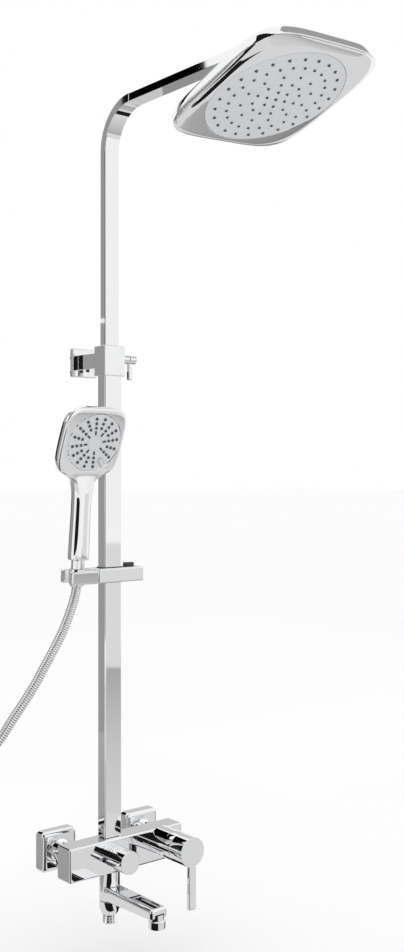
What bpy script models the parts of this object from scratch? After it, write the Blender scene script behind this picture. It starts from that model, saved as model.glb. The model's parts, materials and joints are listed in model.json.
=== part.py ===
"""Rainfall shower column: bath mixer, telescopic riser with overhead rain head, and hand shower.

Lengths are in millimetres until they reach Blender, which gets metres.
X runs right along the wall, the wall is the plane Y = 0, the front is -Y and Z is up.
The origin is the midpoint between the two wall inlets.
"""
import math

import bmesh
import bpy
from mathutils import Matrix, Vector

MM = 0.001
GAP = 0.3                     # clearance between pieces that touch or slide
FACETS = 24                   # sides of an ordinary round piece

# wall inlets, unions and mixer body
INLET_SPACING = 150.0
FLANGE_SIDE = 59.0
FLANGE_DEPTH = 24.0
FLANGE_WALL = 1.6
FLANGE_CORNER = 7.0
UNION_RADIUS = 13.0
UNION_DROP = 3.0              # how far the eccentric unions lower the mixer
WALL_THREAD_RADIUS = 10.45
WALL_THREAD_LENGTH = 14.0
NUT_FLATS = 35.0
NUT_LENGTH = 18.0
BODY_LENGTH = 202.0
BODY_DEPTH = 33.0
BODY_HEIGHT = 49.0
BODY_CENTRE_Y = -72.0

# mixer handle
HANDLE_X = 61.0
HANDLE_Z = 3.0
HANDLE_RADIUS = 21.5
SLEEVE_LENGTH = 32.0
CARRIER_EDGE = 46.0           # from the body's front to the edge of the domed carrier
PIVOT_DEPTH = 36.0            # from the body's front to the lift pivot
HANDLE_LENGTH = 75.0
CARTRIDGE_RADIUS = 17.5
LEVER_WIDTH = 12.3
LEVER_THICK = 6.8
LEVER_REACH = 83.0            # from the handle's axis down to the lever's end
LIFT_SLOT = 15.0
LIFT_GAP = 1.6                # between the carrier's edge and the lever handle's edge
STEM_RADIUS = 4.0
STEM_TAIL = 6.0               # stem behind the lift pivot
STEM_COVER = 8.0              # metal of the handle in front of the stem

# diverter knob
DIVERTER_Z = -5.0
KNOB_RADIUS = 16.5
KNOB_REACH = 35.5
KNOB_COLLAR = 5.5
WING_REACH = 6.0

# riser
COLUMN_X = -21.0
LOWER_WIDTH = 29.6
LOWER_DEPTH = 19.0
LOWER_WALL = 1.2
LOWER_TOP = 699.0
UPPER_WIDTH = 26.6
UPPER_DEPTH = 14.0
UPPER_WALL = 1.2
UPPER_BOTTOM = 420.0
ARM_Z = 1081.0
BEND_RADIUS = 63.0
TUBE_CORNER = 2.2
BEND_STEPS = 12

# height lock and wall bracket
LOCK_WIDTH = 36.0
LOCK_DEPTH = 27.0
LOCK_HEIGHT = 44.0
LOCK_BOTTOM = 692.0
LOCK_KNOB_RADIUS = 7.5
LOCK_BOSS = 14.0
PLATE_SIDE = 43.0
PLATE_DEPTH = 7.0
NECK_SIDE = 23.0
BRACKET_Z = 716.0

# rain head
BALL_AT = (COLUMN_X, -402.0, 1058.0)
BALL_RADIUS = 9.0
HEAD_PITCH = 19.1
HEAD_ROLL = -4.1
HEAD_DROP = 50.0              # from the ball's centre to the spray plate
HEAD_HALF = 106.0
HEAD_RIM = 7.0
HEAD_BAND = 8.5               # height of the upright band round the head
HEAD_TOP = 24.0               # where the housing meets its neck, above the spray plate
PLATE_RADIUS = 90.0
NECK_RADIUS = 15.0
STEM_NECK = 4.5               # slim part of the ball stem, which lets the head tilt
SEAT_WALL = 2.0
SEAT_EDGE = 6.5               # latitude where each seat stops, so that they clear as the head rolls
SEAT_FOOT = -52.0
MOUTH_ANGLE = 24.0            # latitude on the ball where the union nut opens
ARM_OVERHANG = 14.0           # arm beyond the ball

# slider and hand shower
SLIDER_Z = 403.0
SLIDER_LEFT = -50.0
SLIDER_RIGHT = 30.0
SLIDER_DEPTH = 32.0
SLIDER_HEIGHT = 21.0
LINER_WALL = 1.6
HOLDER_X = -78.0
HOLDER_LEFT = -96.0
HOLDER_HEIGHT = 19.0
HOLDER_LEAN = 5.5
CONE_TOP = 11.4
CONE_BOTTOM = 10.4
HOSE_RADIUS = 7.0
GRIP_WIDTH = 31.0
GRIP_DEPTH = 28.0
GRIP_START = 24.4
FACE_AT = (0.4, -25.2, 193.4)  # spray face centre in the holder's leaning frame
FACE_SHIFT = -1.8             # the head's outline lies this much to the left of the spray face
FACE_TILT = 18.1
FACE_RADIUS = 42.8
FACE_HALF_WIDTH = 51.0
FACE_HALF_HEIGHT = 52.8
FACE_CROWN = 6.0              # how far the rim falls back from the spray face
TAB_ANGLE = -58.0
HEAD_THICK = 25.0

# outlet and spout
OUTLET_RADIUS = 15.0
OUTLET_LENGTH = 53.0
THREAD_RADIUS = 10.45
SPOUT_TOP = -49.0
SPOUT_HEIGHT = 21.0
SPOUT_WIDTH = 28.0
SPOUT_REACH = 119.0           # from the outlet's axis to the spout's tip

# hose: the run that shows, and the ring its spare length is wound in
HOSE_ROUTE = [(-78.0, -70.6, 388.6), (-79.0, -69.6, 378.0), (-82.7, -68.3, 364.3), (-90.0, -66.2, 343.0),
              (-101.7, -64.5, 318.3), (-113.9, -63.6, 298.1), (-128.0, -62.6, 275.8), (-142.1, -61.7, 254.0),
              (-158.0, -60.7, 232.7), (-173.7, -59.9, 213.5), (-195.0, -58.7, 186.4), (-221.0, -57.6, 161.0)]
COIL_AT = (-288.0, 0.0, 214.0)
COIL_OUTER = 91.0
COIL_INNER = 52.0
COIL_FRONT = 50.5
COIL_BACK = 4.0
END_NUT_RADIUS = 12.0
END_NUT_LENGTH = 16.0

BODY_Z = -UNION_DROP
BODY_FRONT = BODY_CENTRE_Y - BODY_DEPTH / 2
BODY_BACK = BODY_CENTRE_Y + BODY_DEPTH / 2
BODY_TOP = BODY_Z + BODY_HEIGHT / 2
BODY_BOTTOM = BODY_Z - BODY_HEIGHT / 2
COLUMN = (COLUMN_X, BODY_CENTRE_Y)

CHROME = ("chrome", (0.86, 0.87, 0.88), 0.06, 1.0)
BRASS = ("brass", (0.72, 0.55, 0.28), 0.3, 1.0)
GREY = ("spray_grey", (0.62, 0.63, 0.65), 0.4, 0.0)
DARK = ("dark_plastic", (0.07, 0.07, 0.075), 0.45, 0.0)
RUBBER = ("rubber", (0.03, 0.03, 0.03), 0.75, 0.0)
NYLON = ("nylon", (0.82, 0.82, 0.8), 0.5, 0.0)
STEEL = ("steel", (0.6, 0.6, 0.6), 0.25, 1.0)

FORWARD = Matrix.Rotation(math.pi / 2, 4, "X")      # local +Z becomes world -Y
SIDEWAYS = Matrix.Rotation(math.pi / 2, 4, "Y")     # local +Z becomes world +X
DOWNWARD = Matrix.Rotation(math.pi, 4, "X")


def clear_scene():
    for item in list(bpy.data.objects):
        bpy.data.objects.remove(item, do_unlink=True)


def new_collection(name):
    group = bpy.data.collections.new(name)
    bpy.context.scene.collection.children.link(group)
    return group


clear_scene()
PARTS = new_collection("rainfall_shower_column")
CUTTERS = new_collection("cutters")


def material(spec):
    name, colour, roughness, metallic = spec
    found = bpy.data.materials.get(name)
    if found:
        return found
    made = bpy.data.materials.new(name)
    made.use_nodes = True
    shader = made.node_tree.nodes["Principled BSDF"]
    shader.inputs["Base Color"].default_value = (*colour, 1.0)
    shader.inputs["Roughness"].default_value = roughness
    shader.inputs["Metallic"].default_value = metallic
    return made


def at(x, y, z):
    """A move given in millimetres."""
    return Matrix.Translation(Vector((x, y, z)) * MM)


def add(name, mesh, frame, finish=None):
    """Put a mesh in the scene: as a part when it has a finish, otherwise as a cutter."""
    item = bpy.data.objects.new(name, mesh)
    item.matrix_world = frame
    if finish:
        mesh.materials.append(material(finish))
        PARTS.objects.link(item)
    else:
        item.hide_render = True
        item.display_type = "WIRE"
        CUTTERS.objects.link(item)
    return item


def mesh_from(bm, name):
    for vertex in bm.verts:
        vertex.co *= MM
    bmesh.ops.recalc_face_normals(bm, faces=bm.faces)
    mesh = bpy.data.meshes.new(name)
    bm.to_mesh(mesh)
    bm.free()
    return mesh


def box(name, size, frame, finish=None, bevel=0.0):
    bm = bmesh.new()
    bmesh.ops.create_cube(bm, size=1.0)
    bmesh.ops.scale(bm, vec=size, verts=bm.verts)
    item = add(name, mesh_from(bm, name), frame, finish)
    if bevel:
        round_edges(item, bevel)
    return item


def rod(name, radius, length, frame, finish=None, end_radius=None, sides=FACETS):
    """A cylinder or cone that starts at the frame's origin and runs along its Z."""
    bm = bmesh.new()
    end = radius if end_radius is None else end_radius
    bmesh.ops.create_cone(bm, cap_ends=True, segments=sides, radius1=radius, radius2=end, depth=length)
    bmesh.ops.translate(bm, vec=(0, 0, length / 2), verts=bm.verts)
    return add(name, mesh_from(bm, name), frame, finish)


def ball(name, radius, frame, finish=None):
    bm = bmesh.new()
    bmesh.ops.create_uvsphere(bm, u_segments=24, v_segments=12, radius=radius)
    return add(name, mesh_from(bm, name), frame, finish)


def turned(name, outline, frame, finish=None, sides=FACETS):
    """Revolve a closed outline of (radius, height) points about the frame's Z."""
    outline = [(0 if r < 1e-9 else r, h) for r, h in outline]
    area = sum(a[0] * b[1] - b[0] * a[1] for a, b in zip(outline, outline[1:] + outline[:1]))
    points = outline if area < 0 else outline[::-1]
    on_axis = [i for i, p in enumerate(points) if p[0] == 0]
    closed = len(on_axis) < 2
    if not closed:
        start = next(i for i in on_axis if points[(i + 1) % len(points)][0] > 0)
        points = points[start:] + points[:start]
    mesh = bpy.data.meshes.new(name)
    edges = [(i, i + 1) for i in range(len(points) - 1)]
    if closed:
        edges.append((len(points) - 1, 0))
    mesh.from_pydata([(r * MM, 0, h * MM) for r, h in points], edges, [])
    item = add(name, mesh, frame, finish)
    screw = item.modifiers.new("turn", "SCREW")
    screw.axis = "Z"
    screw.steps = screw.render_steps = sides
    screw.use_merge_vertices = True
    screw.merge_threshold = 1e-6
    screw.use_smooth_shade = False
    return item


def ring(name, inner, outer, length, frame, finish=None, sides=FACETS):
    return turned(name, [(inner, 0), (outer, 0), (outer, length), (inner, length)], frame, finish, sides)


def arc(radius, start, end, steps, centre=(0.0, 0.0)):
    """Points on an arc, angles in degrees from the first axis."""
    turn = [math.radians(start + (end - start) * i / steps) for i in range(steps + 1)]
    return [(centre[0] + radius * math.cos(a), centre[1] + radius * math.sin(a)) for a in turn]


def rounded_rect(width, depth, corner, steps=2):
    points = []
    for quarter, (sx, sy) in enumerate(((1, 1), (-1, 1), (-1, -1), (1, -1))):
        middle = (sx * (width / 2 - corner), sy * (depth / 2 - corner))
        points += arc(corner, quarter * 90, quarter * 90 + 90, steps, middle)
    return points


def loft(name, rings, frame, finish=None):
    """Join rings of 3-D points in order and close both ends."""
    bm = bmesh.new()
    loops = [[bm.verts.new(p) for p in points] for points in rings]
    for low, high in zip(loops, loops[1:]):
        for i in range(len(low)):
            j = (i + 1) % len(low)
            bm.faces.new((low[i], low[j], high[j], high[i]))
    bm.faces.new(loops[0][::-1])
    bm.faces.new(loops[-1])
    return add(name, mesh_from(bm, name), frame, finish)


def cushion(name, side, depth, corner, frame, finish=None):
    """A square plate with round corners and a rounded front edge."""
    rings = []
    for inset, height in ((0.0, 0.0), (0.0, depth - 2.0), (0.6, depth - 0.6), (2.0, depth)):
        outline = rounded_rect(side - 2 * inset, side - 2 * inset, corner - inset)
        rings.append([(x, y, height) for x, y in outline])
    return loft(name, rings, frame, finish)


def prism(name, outline, length, frame, finish=None):
    return loft(name, [[(x, y, z) for x, y in outline] for z in (0.0, length)], frame, finish)


def round_edges(item, width, segments=2):
    bevel = item.modifiers.new("round", "BEVEL")
    bevel.width = width * MM
    bevel.segments = segments
    bevel.limit_method = "ANGLE"
    bevel.angle_limit = math.radians(40)


def combine(item, tools, operation="DIFFERENCE"):
    for tool in tools:
        step = item.modifiers.new(operation.lower(), "BOOLEAN")
        step.operation = operation
        step.solver = "EXACT"
        step.object = tool


# ---------------------------------------------------------------- wall connection

def wall_connection(side, sign):
    x = sign * INLET_SPACING / 2
    wall = at(x, 0, 0) @ FORWARD
    mixer_side = at(x, 0, BODY_Z) @ FORWARD

    flange = cushion(f"wall_flange_{side}", FLANGE_SIDE, FLANGE_DEPTH, FLANGE_CORNER, wall, CHROME)
    inner_side = FLANGE_SIDE - 2 * FLANGE_WALL
    inside = cushion(f"cut_flange_{side}", inner_side, FLANGE_DEPTH, FLANGE_CORNER - FLANGE_WALL,
                     wall @ at(0, 0, -FLANGE_WALL))
    hole = rod(f"cut_flange_hole_{side}", UNION_RADIUS + UNION_DROP + GAP, 2 * FLANGE_DEPTH, wall)
    combine(flange, [inside, hole])

    union_end = -BODY_BACK - 2.5
    union = rod(f"eccentric_union_{side}", UNION_RADIUS, union_end - 8.0, mixer_side @ at(0, 0, 8.0), CHROME)
    thread = rod(f"add_thread_{side}", WALL_THREAD_RADIUS, WALL_THREAD_LENGTH + 12.0,
                 wall @ at(0, 0, -WALL_THREAD_LENGTH))
    bore = rod(f"cut_union_{side}", 7.0, 120.0, wall @ at(0, 0, -30.0), sides=20)
    combine(union, [thread], "UNION")
    combine(union, [bore])

    nut_start = -BODY_BACK - NUT_LENGTH - GAP
    nut = rod(f"union_nut_{side}", NUT_FLATS / math.sqrt(3), NUT_LENGTH,
              mixer_side @ at(0, 0, nut_start) @ Matrix.Rotation(math.radians(12), 4, "Z"), CHROME, sides=6)
    round_edges(nut, 0.8, 1)
    combine(nut, [rod(f"cut_nut_{side}", UNION_RADIUS + GAP, 60.0, mixer_side @ at(0, 0, 20.0))])
    washer = mixer_side @ at(0, 0, union_end + GAP)
    ring(f"union_washer_{side}", 8.0, UNION_RADIUS - 1.0, 1.8, washer, RUBBER, 20)


# ---------------------------------------------------------------- mixer body

def mixer_body():
    middle = at(0, BODY_CENTRE_Y, BODY_Z)
    body = box("mixer_body", (BODY_LENGTH, BODY_DEPTH, BODY_HEIGHT), middle, CHROME, bevel=3.0)
    front = at(0, BODY_FRONT, 0)
    handle = front @ at(HANDLE_X, 0, HANDLE_Z) @ FORWARD
    boss = rod("add_cartridge_boss", CARTRIDGE_RADIUS + 1.8, 22.0, handle @ at(0, 0, -4.0))
    combine(body, [boss], "UNION")
    deep = 60.0
    cuts = [rod("cut_cartridge", CARTRIDGE_RADIUS + GAP, deep, handle @ at(0, 0, -BODY_DEPTH + 10.0))]
    diverter = front @ at(COLUMN_X, 0, DIVERTER_Z) @ FORWARD
    cuts.append(rod("cut_diverter", 10.0 + GAP, deep, diverter @ at(0, 0, -BODY_DEPTH + 9.0)))
    cuts.append(rod("cut_riser_port", 7.0 + GAP, deep, at(*COLUMN, BODY_Z + 4.0), sides=20))
    cuts.append(rod("cut_outlet_port", 7.0 + GAP, deep, at(*COLUMN, BODY_Z - 4.0) @ DOWNWARD, sides=20))
    for side, sign in (("left", -1), ("right", 1)):
        inlet = at(sign * INLET_SPACING / 2, BODY_BACK - 14.0, BODY_Z) @ FORWARD @ DOWNWARD
        cuts.append(rod(f"cut_inlet_{side}", 7.0, deep, inlet, sides=20))
    combine(body, cuts)


# ---------------------------------------------------------------- mixer handle

def handle_frame():
    return at(HANDLE_X, BODY_FRONT, HANDLE_Z) @ FORWARD


def mixer_cartridge():
    base = handle_frame()
    rod("cartridge_housing", CARTRIDGE_RADIUS, BODY_DEPTH - 12.0 + 16.0, base @ at(0, 0, -BODY_DEPTH + 11.0),
        NYLON, sides=28)
    ring("cartridge_retaining_nut", 13.0, CARTRIDGE_RADIUS + 1.6, 8.0, base @ at(0, 0, 18.0 + GAP), BRASS)
    sleeve_wall = 1.8
    ring("handle_sleeve", HANDLE_RADIUS - sleeve_wall, HANDLE_RADIUS, SLEEVE_LENGTH, base @ at(0, 0, GAP),
         CHROME, 36)


def handle_carrier():
    """Turns with the handle; its front is a dome about the lift pivot."""
    base = handle_frame()
    dome = math.hypot(HANDLE_RADIUS, CARRIER_EDGE - PIVOT_DEPTH)
    edge = math.degrees(math.atan2(CARRIER_EDGE - PIVOT_DEPTH, HANDLE_RADIUS))
    inner = dome - 2.2
    pivot = (0.0, PIVOT_DEPTH)
    back = SLEEVE_LENGTH + 2 * GAP
    inner_radius = HANDLE_RADIUS - 2.2
    inner_edge = math.degrees(math.acos(inner_radius / inner))
    outline = [(inner_radius, back), (HANDLE_RADIUS, back)]
    outline += arc(dome, edge, 90, 6, pivot)
    outline += arc(inner, 90, inner_edge, 4, pivot)
    carrier = turned("handle_carrier", outline, base, CHROME, 36)
    slot = box("cut_lift_slot", (10.0, LIFT_SLOT + 5.0, 20.0),
               base @ at(0, (LIFT_SLOT - 5.0) / 2, PIVOT_DEPTH + 22.0))
    combine(carrier, [slot])
    return dome


def lift_handle(dome):
    pivot = handle_frame() @ at(0, 0, PIVOT_DEPTH)
    front = HANDLE_LENGTH - PIVOT_DEPTH
    socket = dome + 2 * GAP
    start = math.degrees(math.asin((CARRIER_EDGE + LIFT_GAP - PIVOT_DEPTH) / socket))
    outline = arc(socket, start, 90, 6)
    outline += [(0.0, front), (HANDLE_RADIUS - 1.0, front), (HANDLE_RADIUS, front - 1.0)]
    outline.append((HANDLE_RADIUS, outline[0][1]))
    cap = turned("lever_handle", outline, pivot, CHROME, 36)
    lever_length = LEVER_REACH - HANDLE_RADIUS / 2
    lever = box("add_lever", (LEVER_WIDTH, lever_length, LEVER_THICK),
                pivot @ at(0, -LEVER_REACH + lever_length / 2, front - LEVER_THICK / 2), bevel=1.6)
    combine(cap, [lever], "UNION")
    combine(cap, [rod("cut_stem", STEM_RADIUS + GAP, 14.0, pivot @ at(0, 0, front - 20.0), sides=20)])
    stem_length = front - STEM_COVER + STEM_TAIL
    rod("cartridge_stem", STEM_RADIUS, stem_length, pivot @ at(0, 0, -STEM_TAIL), STEEL, sides=16)


# ---------------------------------------------------------------- diverter

def diverter():
    base = at(COLUMN_X, BODY_FRONT, DIVERTER_Z) @ FORWARD
    rod("diverter_cartridge", 10.0, 25.0, base @ at(0, 0, -BODY_DEPTH + 10.0), BRASS, sides=24)
    ring("diverter_collar", 10.0 + 2 * GAP, KNOB_RADIUS, KNOB_COLLAR, base @ at(0, 0, GAP), CHROME)
    knob_start = KNOB_COLLAR + 2 * GAP
    inside = KNOB_RADIUS - 2.5
    groove = knob_start + 9.0
    outline = [(inside, knob_start), (KNOB_RADIUS, knob_start), (KNOB_RADIUS, groove),
               (KNOB_RADIUS - 0.6, groove + 0.5), (KNOB_RADIUS, groove + 1.0),
               (KNOB_RADIUS, KNOB_REACH - 0.8), (KNOB_RADIUS - 0.8, KNOB_REACH), (0, KNOB_REACH),
               (0, KNOB_REACH - 6.0), (inside, KNOB_REACH - 6.0)]
    knob = turned("diverter_knob", outline, base, CHROME, 32)
    wing_length = KNOB_REACH - knob_start - 3.0
    wing = box("add_wing", (WING_REACH + 4.0, 4.6, wing_length),
               base @ at(-KNOB_RADIUS - WING_REACH / 2 + 1.0, 0, knob_start + wing_length / 2), bevel=1.6)
    combine(knob, [wing], "UNION")
    rod("diverter_spindle", 4.0, KNOB_REACH - 6.0 - GAP - 3.0, base @ at(0, 0, 3.0), STEEL, sides=16)


# ---------------------------------------------------------------- outlet and spout

def outlet_and_spout():
    top = at(*COLUMN, BODY_BOTTOM - GAP) @ DOWNWARD
    spout_start = BODY_BOTTOM - GAP - SPOUT_TOP - GAP
    neck = OUTLET_RADIUS - 4.0
    spout_end = spout_start + SPOUT_HEIGHT + 2 * GAP
    outline = [(6.0, 0), (OUTLET_RADIUS, 0), (OUTLET_RADIUS, spout_start), (neck, spout_start),
               (neck, spout_end), (6.0, spout_end)]
    turned("outlet_stem", outline, top, CHROME)
    lower = top @ at(0, 0, spout_end + GAP)
    cone = OUTLET_LENGTH - spout_end
    thread = [(6.0, 0), (OUTLET_RADIUS, 0), (OUTLET_RADIUS, cone), (THREAD_RADIUS + 1.5, cone + 8.0),
              (THREAD_RADIUS, cone + 9.5)]
    for turn in range(5):
        height = cone + 11.0 + turn * 2.2
        thread += [(THREAD_RADIUS - 0.9, height), (THREAD_RADIUS, height + 1.1)]
    thread += [(THREAD_RADIUS - 0.9, cone + 23.0), (6.0, cone + 23.0)]
    turned("hose_outlet", thread, lower, CHROME)
    seal = top @ at(0, 0, spout_start + SPOUT_HEIGHT / 2)
    ring("spout_o_ring", neck + 0.2, neck + 1.3, 1.6, seal, RUBBER, 24)

    def section(reach, width, height, corner):
        shape = rounded_rect(width, height, corner)
        return [(x, -reach, z - height / 2 - 0.4) for x, z in shape]

    tip = SPOUT_REACH
    rings = [section(2.0, SPOUT_WIDTH - 2.0, SPOUT_HEIGHT - 1.0, 4.0),
             section(30.0, SPOUT_WIDTH - 1.0, SPOUT_HEIGHT - 1.6, 5.0),
             section(tip * 0.6, SPOUT_WIDTH - 1.0, SPOUT_HEIGHT - 3.4, 6.0),
             section(tip - 4.0, SPOUT_WIDTH - 1.0, SPOUT_HEIGHT - 5.0, 6.0),
             section(tip, SPOUT_WIDTH - 5.0, SPOUT_HEIGHT - 9.0, 4.5)]
    spout = loft("bath_spout", rings, at(*COLUMN, SPOUT_TOP), CHROME)
    hub = rod("add_spout_hub", OUTLET_RADIUS, SPOUT_HEIGHT, at(*COLUMN, SPOUT_TOP) @ DOWNWARD)
    combine(spout, [hub], "UNION")
    bore = rod("cut_spout_bore", neck + 1.6, 60.0, at(*COLUMN, SPOUT_TOP + 20.0) @ DOWNWARD, sides=28)
    mouth_y = BODY_CENTRE_Y - tip + 9.0
    mouth_at = at(COLUMN_X, mouth_y - 3.0, SPOUT_TOP - 9.0)
    mouth = rod("cut_spout_mouth", 10.0, 20.0, mouth_at @ DOWNWARD, sides=24)
    combine(spout, [bore, mouth])
    aerator = at(COLUMN_X, mouth_y - 3.0, SPOUT_TOP - 10.0) @ DOWNWARD
    turned("aerator", [(0, 0), (9.6, 0), (9.6, 7.5), (11.5, 8.6), (11.5, 18.5), (10.8, 19.2), (8.6, 19.2),
                       (8.6, 16.0), (0, 16.0)], aerator, CHROME, 28)


# ---------------------------------------------------------------- riser

def tube_outline(width, depth):
    return rounded_rect(width, depth, TUBE_CORNER)


def lower_tube():
    foot = BODY_TOP + GAP
    outer = tube_outline(LOWER_WIDTH, LOWER_DEPTH)
    tube = prism("lower_column", outer, LOWER_TOP - foot, at(*COLUMN, foot), CHROME)
    inner = tube_outline(LOWER_WIDTH - 2 * LOWER_WALL, LOWER_DEPTH - 2 * LOWER_WALL)
    combine(tube, [prism("cut_lower_tube", inner, LOWER_TOP, at(*COLUMN, 0.0))])
    ring("riser_nipple", 5.0, 7.0, 34.0, at(*COLUMN, BODY_Z + 11.0), BRASS, 20)


def upper_tube():
    """The sliding tube: up, round the bend and out along the arm."""
    end = BALL_AT[1] - ARM_OVERHANG
    bend_z = ARM_Z - BEND_RADIUS

    def sweep(width, depth, bottom, tip, name, finish=None):
        outline = rounded_rect(width, depth, TUBE_CORNER if finish else TUBE_CORNER - 0.6)
        rings = [[(x, y, bottom - UPPER_BOTTOM) for x, y in outline]]
        for step in range(BEND_STEPS + 1):
            a = math.radians(90 * step / BEND_STEPS)
            rings.append([(x, (BEND_RADIUS + y) * math.cos(a) - BEND_RADIUS,
                           bend_z - UPPER_BOTTOM + (BEND_RADIUS + y) * math.sin(a)) for x, y in outline])
        rings.append([(x, tip - BODY_CENTRE_Y, ARM_Z - UPPER_BOTTOM + y) for x, y in outline])
        return loft(name, rings, at(*COLUMN, UPPER_BOTTOM), finish)

    column = sweep(UPPER_WIDTH, UPPER_DEPTH, UPPER_BOTTOM, end, "upper_column", CHROME)
    inner_width = UPPER_WIDTH - 2 * UPPER_WALL
    inner_depth = UPPER_DEPTH - 2 * UPPER_WALL
    inside = sweep(inner_width, inner_depth, UPPER_BOTTOM - 5.0, end - 5.0, "cut_upper_tube")
    ball_hole = rod("cut_ball_stem_hole", 6.5 + GAP, 12.0, at(COLUMN_X, BALL_AT[1], ARM_Z - 13.0), sides=20)
    combine(column, [inside, ball_hole])
    cap_at = at(COLUMN_X, end - 1.0 - GAP, ARM_Z)
    cap = box("arm_end_cap", (UPPER_WIDTH, 2.0, UPPER_DEPTH), cap_at, CHROME, bevel=0.6)
    plug_size = (inner_width - 4 * GAP, 8.0, inner_depth - 4 * GAP)
    plug = box("add_cap_plug", plug_size, at(COLUMN_X, end + 2.0, ARM_Z))
    combine(cap, [plug], "UNION")
    shoe = prism("guide_shoe", tube_outline(LOWER_WIDTH - 2 * LOWER_WALL - 2 * GAP, LOWER_DEPTH - 2 * LOWER_WALL
                                            - 2 * GAP), 16.0, at(*COLUMN, UPPER_BOTTOM - 16.0 - GAP), NYLON)
    combine(shoe, [rod("cut_shoe", 5.0, 40.0, at(*COLUMN, UPPER_BOTTOM - 30.0), sides=16)])


# ---------------------------------------------------------------- height lock and wall bracket

def height_lock():
    middle = at(*COLUMN, LOCK_BOTTOM + LOCK_HEIGHT / 2)
    block = box("lock_block", (LOCK_WIDTH, LOCK_DEPTH, LOCK_HEIGHT), middle, CHROME, bevel=1.2)
    wide = tube_outline(LOWER_WIDTH + 2 * GAP, LOWER_DEPTH + 2 * GAP)
    narrow = tube_outline(UPPER_WIDTH + 2 * GAP, UPPER_DEPTH + 2 * GAP)
    top_wall = 3.0
    seat = prism("cut_lock_seat", wide, LOCK_HEIGHT - top_wall + 10.0, at(*COLUMN, LOCK_BOTTOM - 10.0))
    throat = prism("cut_lock_throat", narrow, LOCK_HEIGHT + 20.0, at(*COLUMN, LOCK_BOTTOM - 10.0))
    right = COLUMN_X + LOCK_WIDTH / 2
    across = at(right, BODY_CENTRE_Y, BRACKET_Z + 3.0) @ SIDEWAYS
    screw_hole = rod("cut_clamp_hole", 3.0 + GAP, 20.0, across @ at(0, 0, -8.0), sides=16)
    combine(block, [seat, throat, screw_hole])

    bush_bottom = LOWER_TOP + GAP
    bush_top = LOCK_BOTTOM + LOCK_HEIGHT - top_wall - GAP
    bush = prism("slide_bush", tube_outline(LOWER_WIDTH, LOWER_DEPTH), bush_top - bush_bottom,
                 at(*COLUMN, bush_bottom), NYLON)
    combine(bush, [prism("cut_bush", narrow, 100.0, at(*COLUMN, bush_bottom - 20.0))])

    ring("lock_boss", 3.0 + 2 * GAP, LOCK_KNOB_RADIUS, LOCK_BOSS, across @ at(0, 0, GAP), CHROME, 28)
    knob_start = LOCK_BOSS + 2 * GAP
    knob = rod("lock_lever", LOCK_KNOB_RADIUS, 12.0, across @ at(0, 0, knob_start), CHROME, sides=28)
    tail = box("add_lock_tail", (31.0, 6.6, 6.6), across @ at(15.5, 0, knob_start + 3.6), bevel=1.2)
    combine(knob, [tail], "UNION")
    combine(knob, [rod("cut_knob", 3.0 + GAP, 8.0, across @ at(0, 0, knob_start - 1.0), sides=16)])
    rod("clamp_screw", 3.0, knob_start + 5.0 + 3.0 - 1.0, across @ at(0, 0, -2.0), STEEL, sides=16)


def wall_bracket():
    wall = at(COLUMN_X, 0, BRACKET_Z) @ FORWARD
    plate = box("bracket_cover", (PLATE_SIDE, PLATE_SIDE, PLATE_DEPTH), wall @ at(0, 0, PLATE_DEPTH / 2), CHROME,
                bevel=1.6)
    inner = PLATE_SIDE - 2 * 2.4
    pocket = box("cut_cover", (inner, inner, PLATE_DEPTH), wall @ at(0, 0, PLATE_DEPTH / 2 - 2.0))
    combine(plate, [pocket])
    base_depth = PLATE_DEPTH - 2.0 - 2 * GAP
    base = box("bracket_base", (inner - 2 * GAP, inner - 2 * GAP, base_depth), wall @ at(0, 0, base_depth / 2), STEEL)
    holes = []
    for place, sign in (("upper", 1), ("lower", -1)):
        spot = wall @ at(0, sign * 11.0, 0)
        holes.append(rod(f"cut_bracket_hole_{place}", 2.4 + GAP, 20.0, spot @ at(0, 0, -2.0), sides=16))
        rod(f"bracket_screw_{place}", 2.4, 30.0 + base_depth, spot @ at(0, 0, -30.0), STEEL, sides=14)
    combine(base, holes)
    neck_start = PLATE_DEPTH + GAP
    neck_end = -(BODY_CENTRE_Y + LOCK_DEPTH / 2) - GAP
    neck_length = neck_end - neck_start
    neck = box("bracket_neck", (NECK_SIDE, NECK_SIDE, neck_length), wall @ at(0, 0, neck_start + neck_length / 2),
               CHROME, bevel=1.2)
    below = wall @ at(0, -NECK_SIDE / 2, neck_start + 8.0) @ FORWARD
    combine(neck, [rod("cut_grub", 2.5 + GAP, 12.0, below @ at(0, 0, -8.0), sides=16)])
    rod("neck_grub_screw", 2.5, 10.0, below @ at(0, 0, -7.5), DARK, sides=12)


# ---------------------------------------------------------------- rain head

def head_frame():
    """Ball centre, tilted as the head is at rest; the spray plate faces local -Z."""
    tilt = Matrix.Rotation(math.radians(-HEAD_PITCH), 4, "X") @ Matrix.Rotation(math.radians(HEAD_ROLL), 4, "Y")
    return at(*BALL_AT) @ tilt


def squircle(half, power, height, sides=40):
    points = []
    for step in range(sides):
        a = 2 * math.pi * (step + 0.5) / sides
        c, s = math.cos(a), math.sin(a)
        reach = half / (abs(c) ** power + abs(s) ** power) ** (1 / power)
        points.append((reach * c, reach * s, height))
    return points


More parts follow.
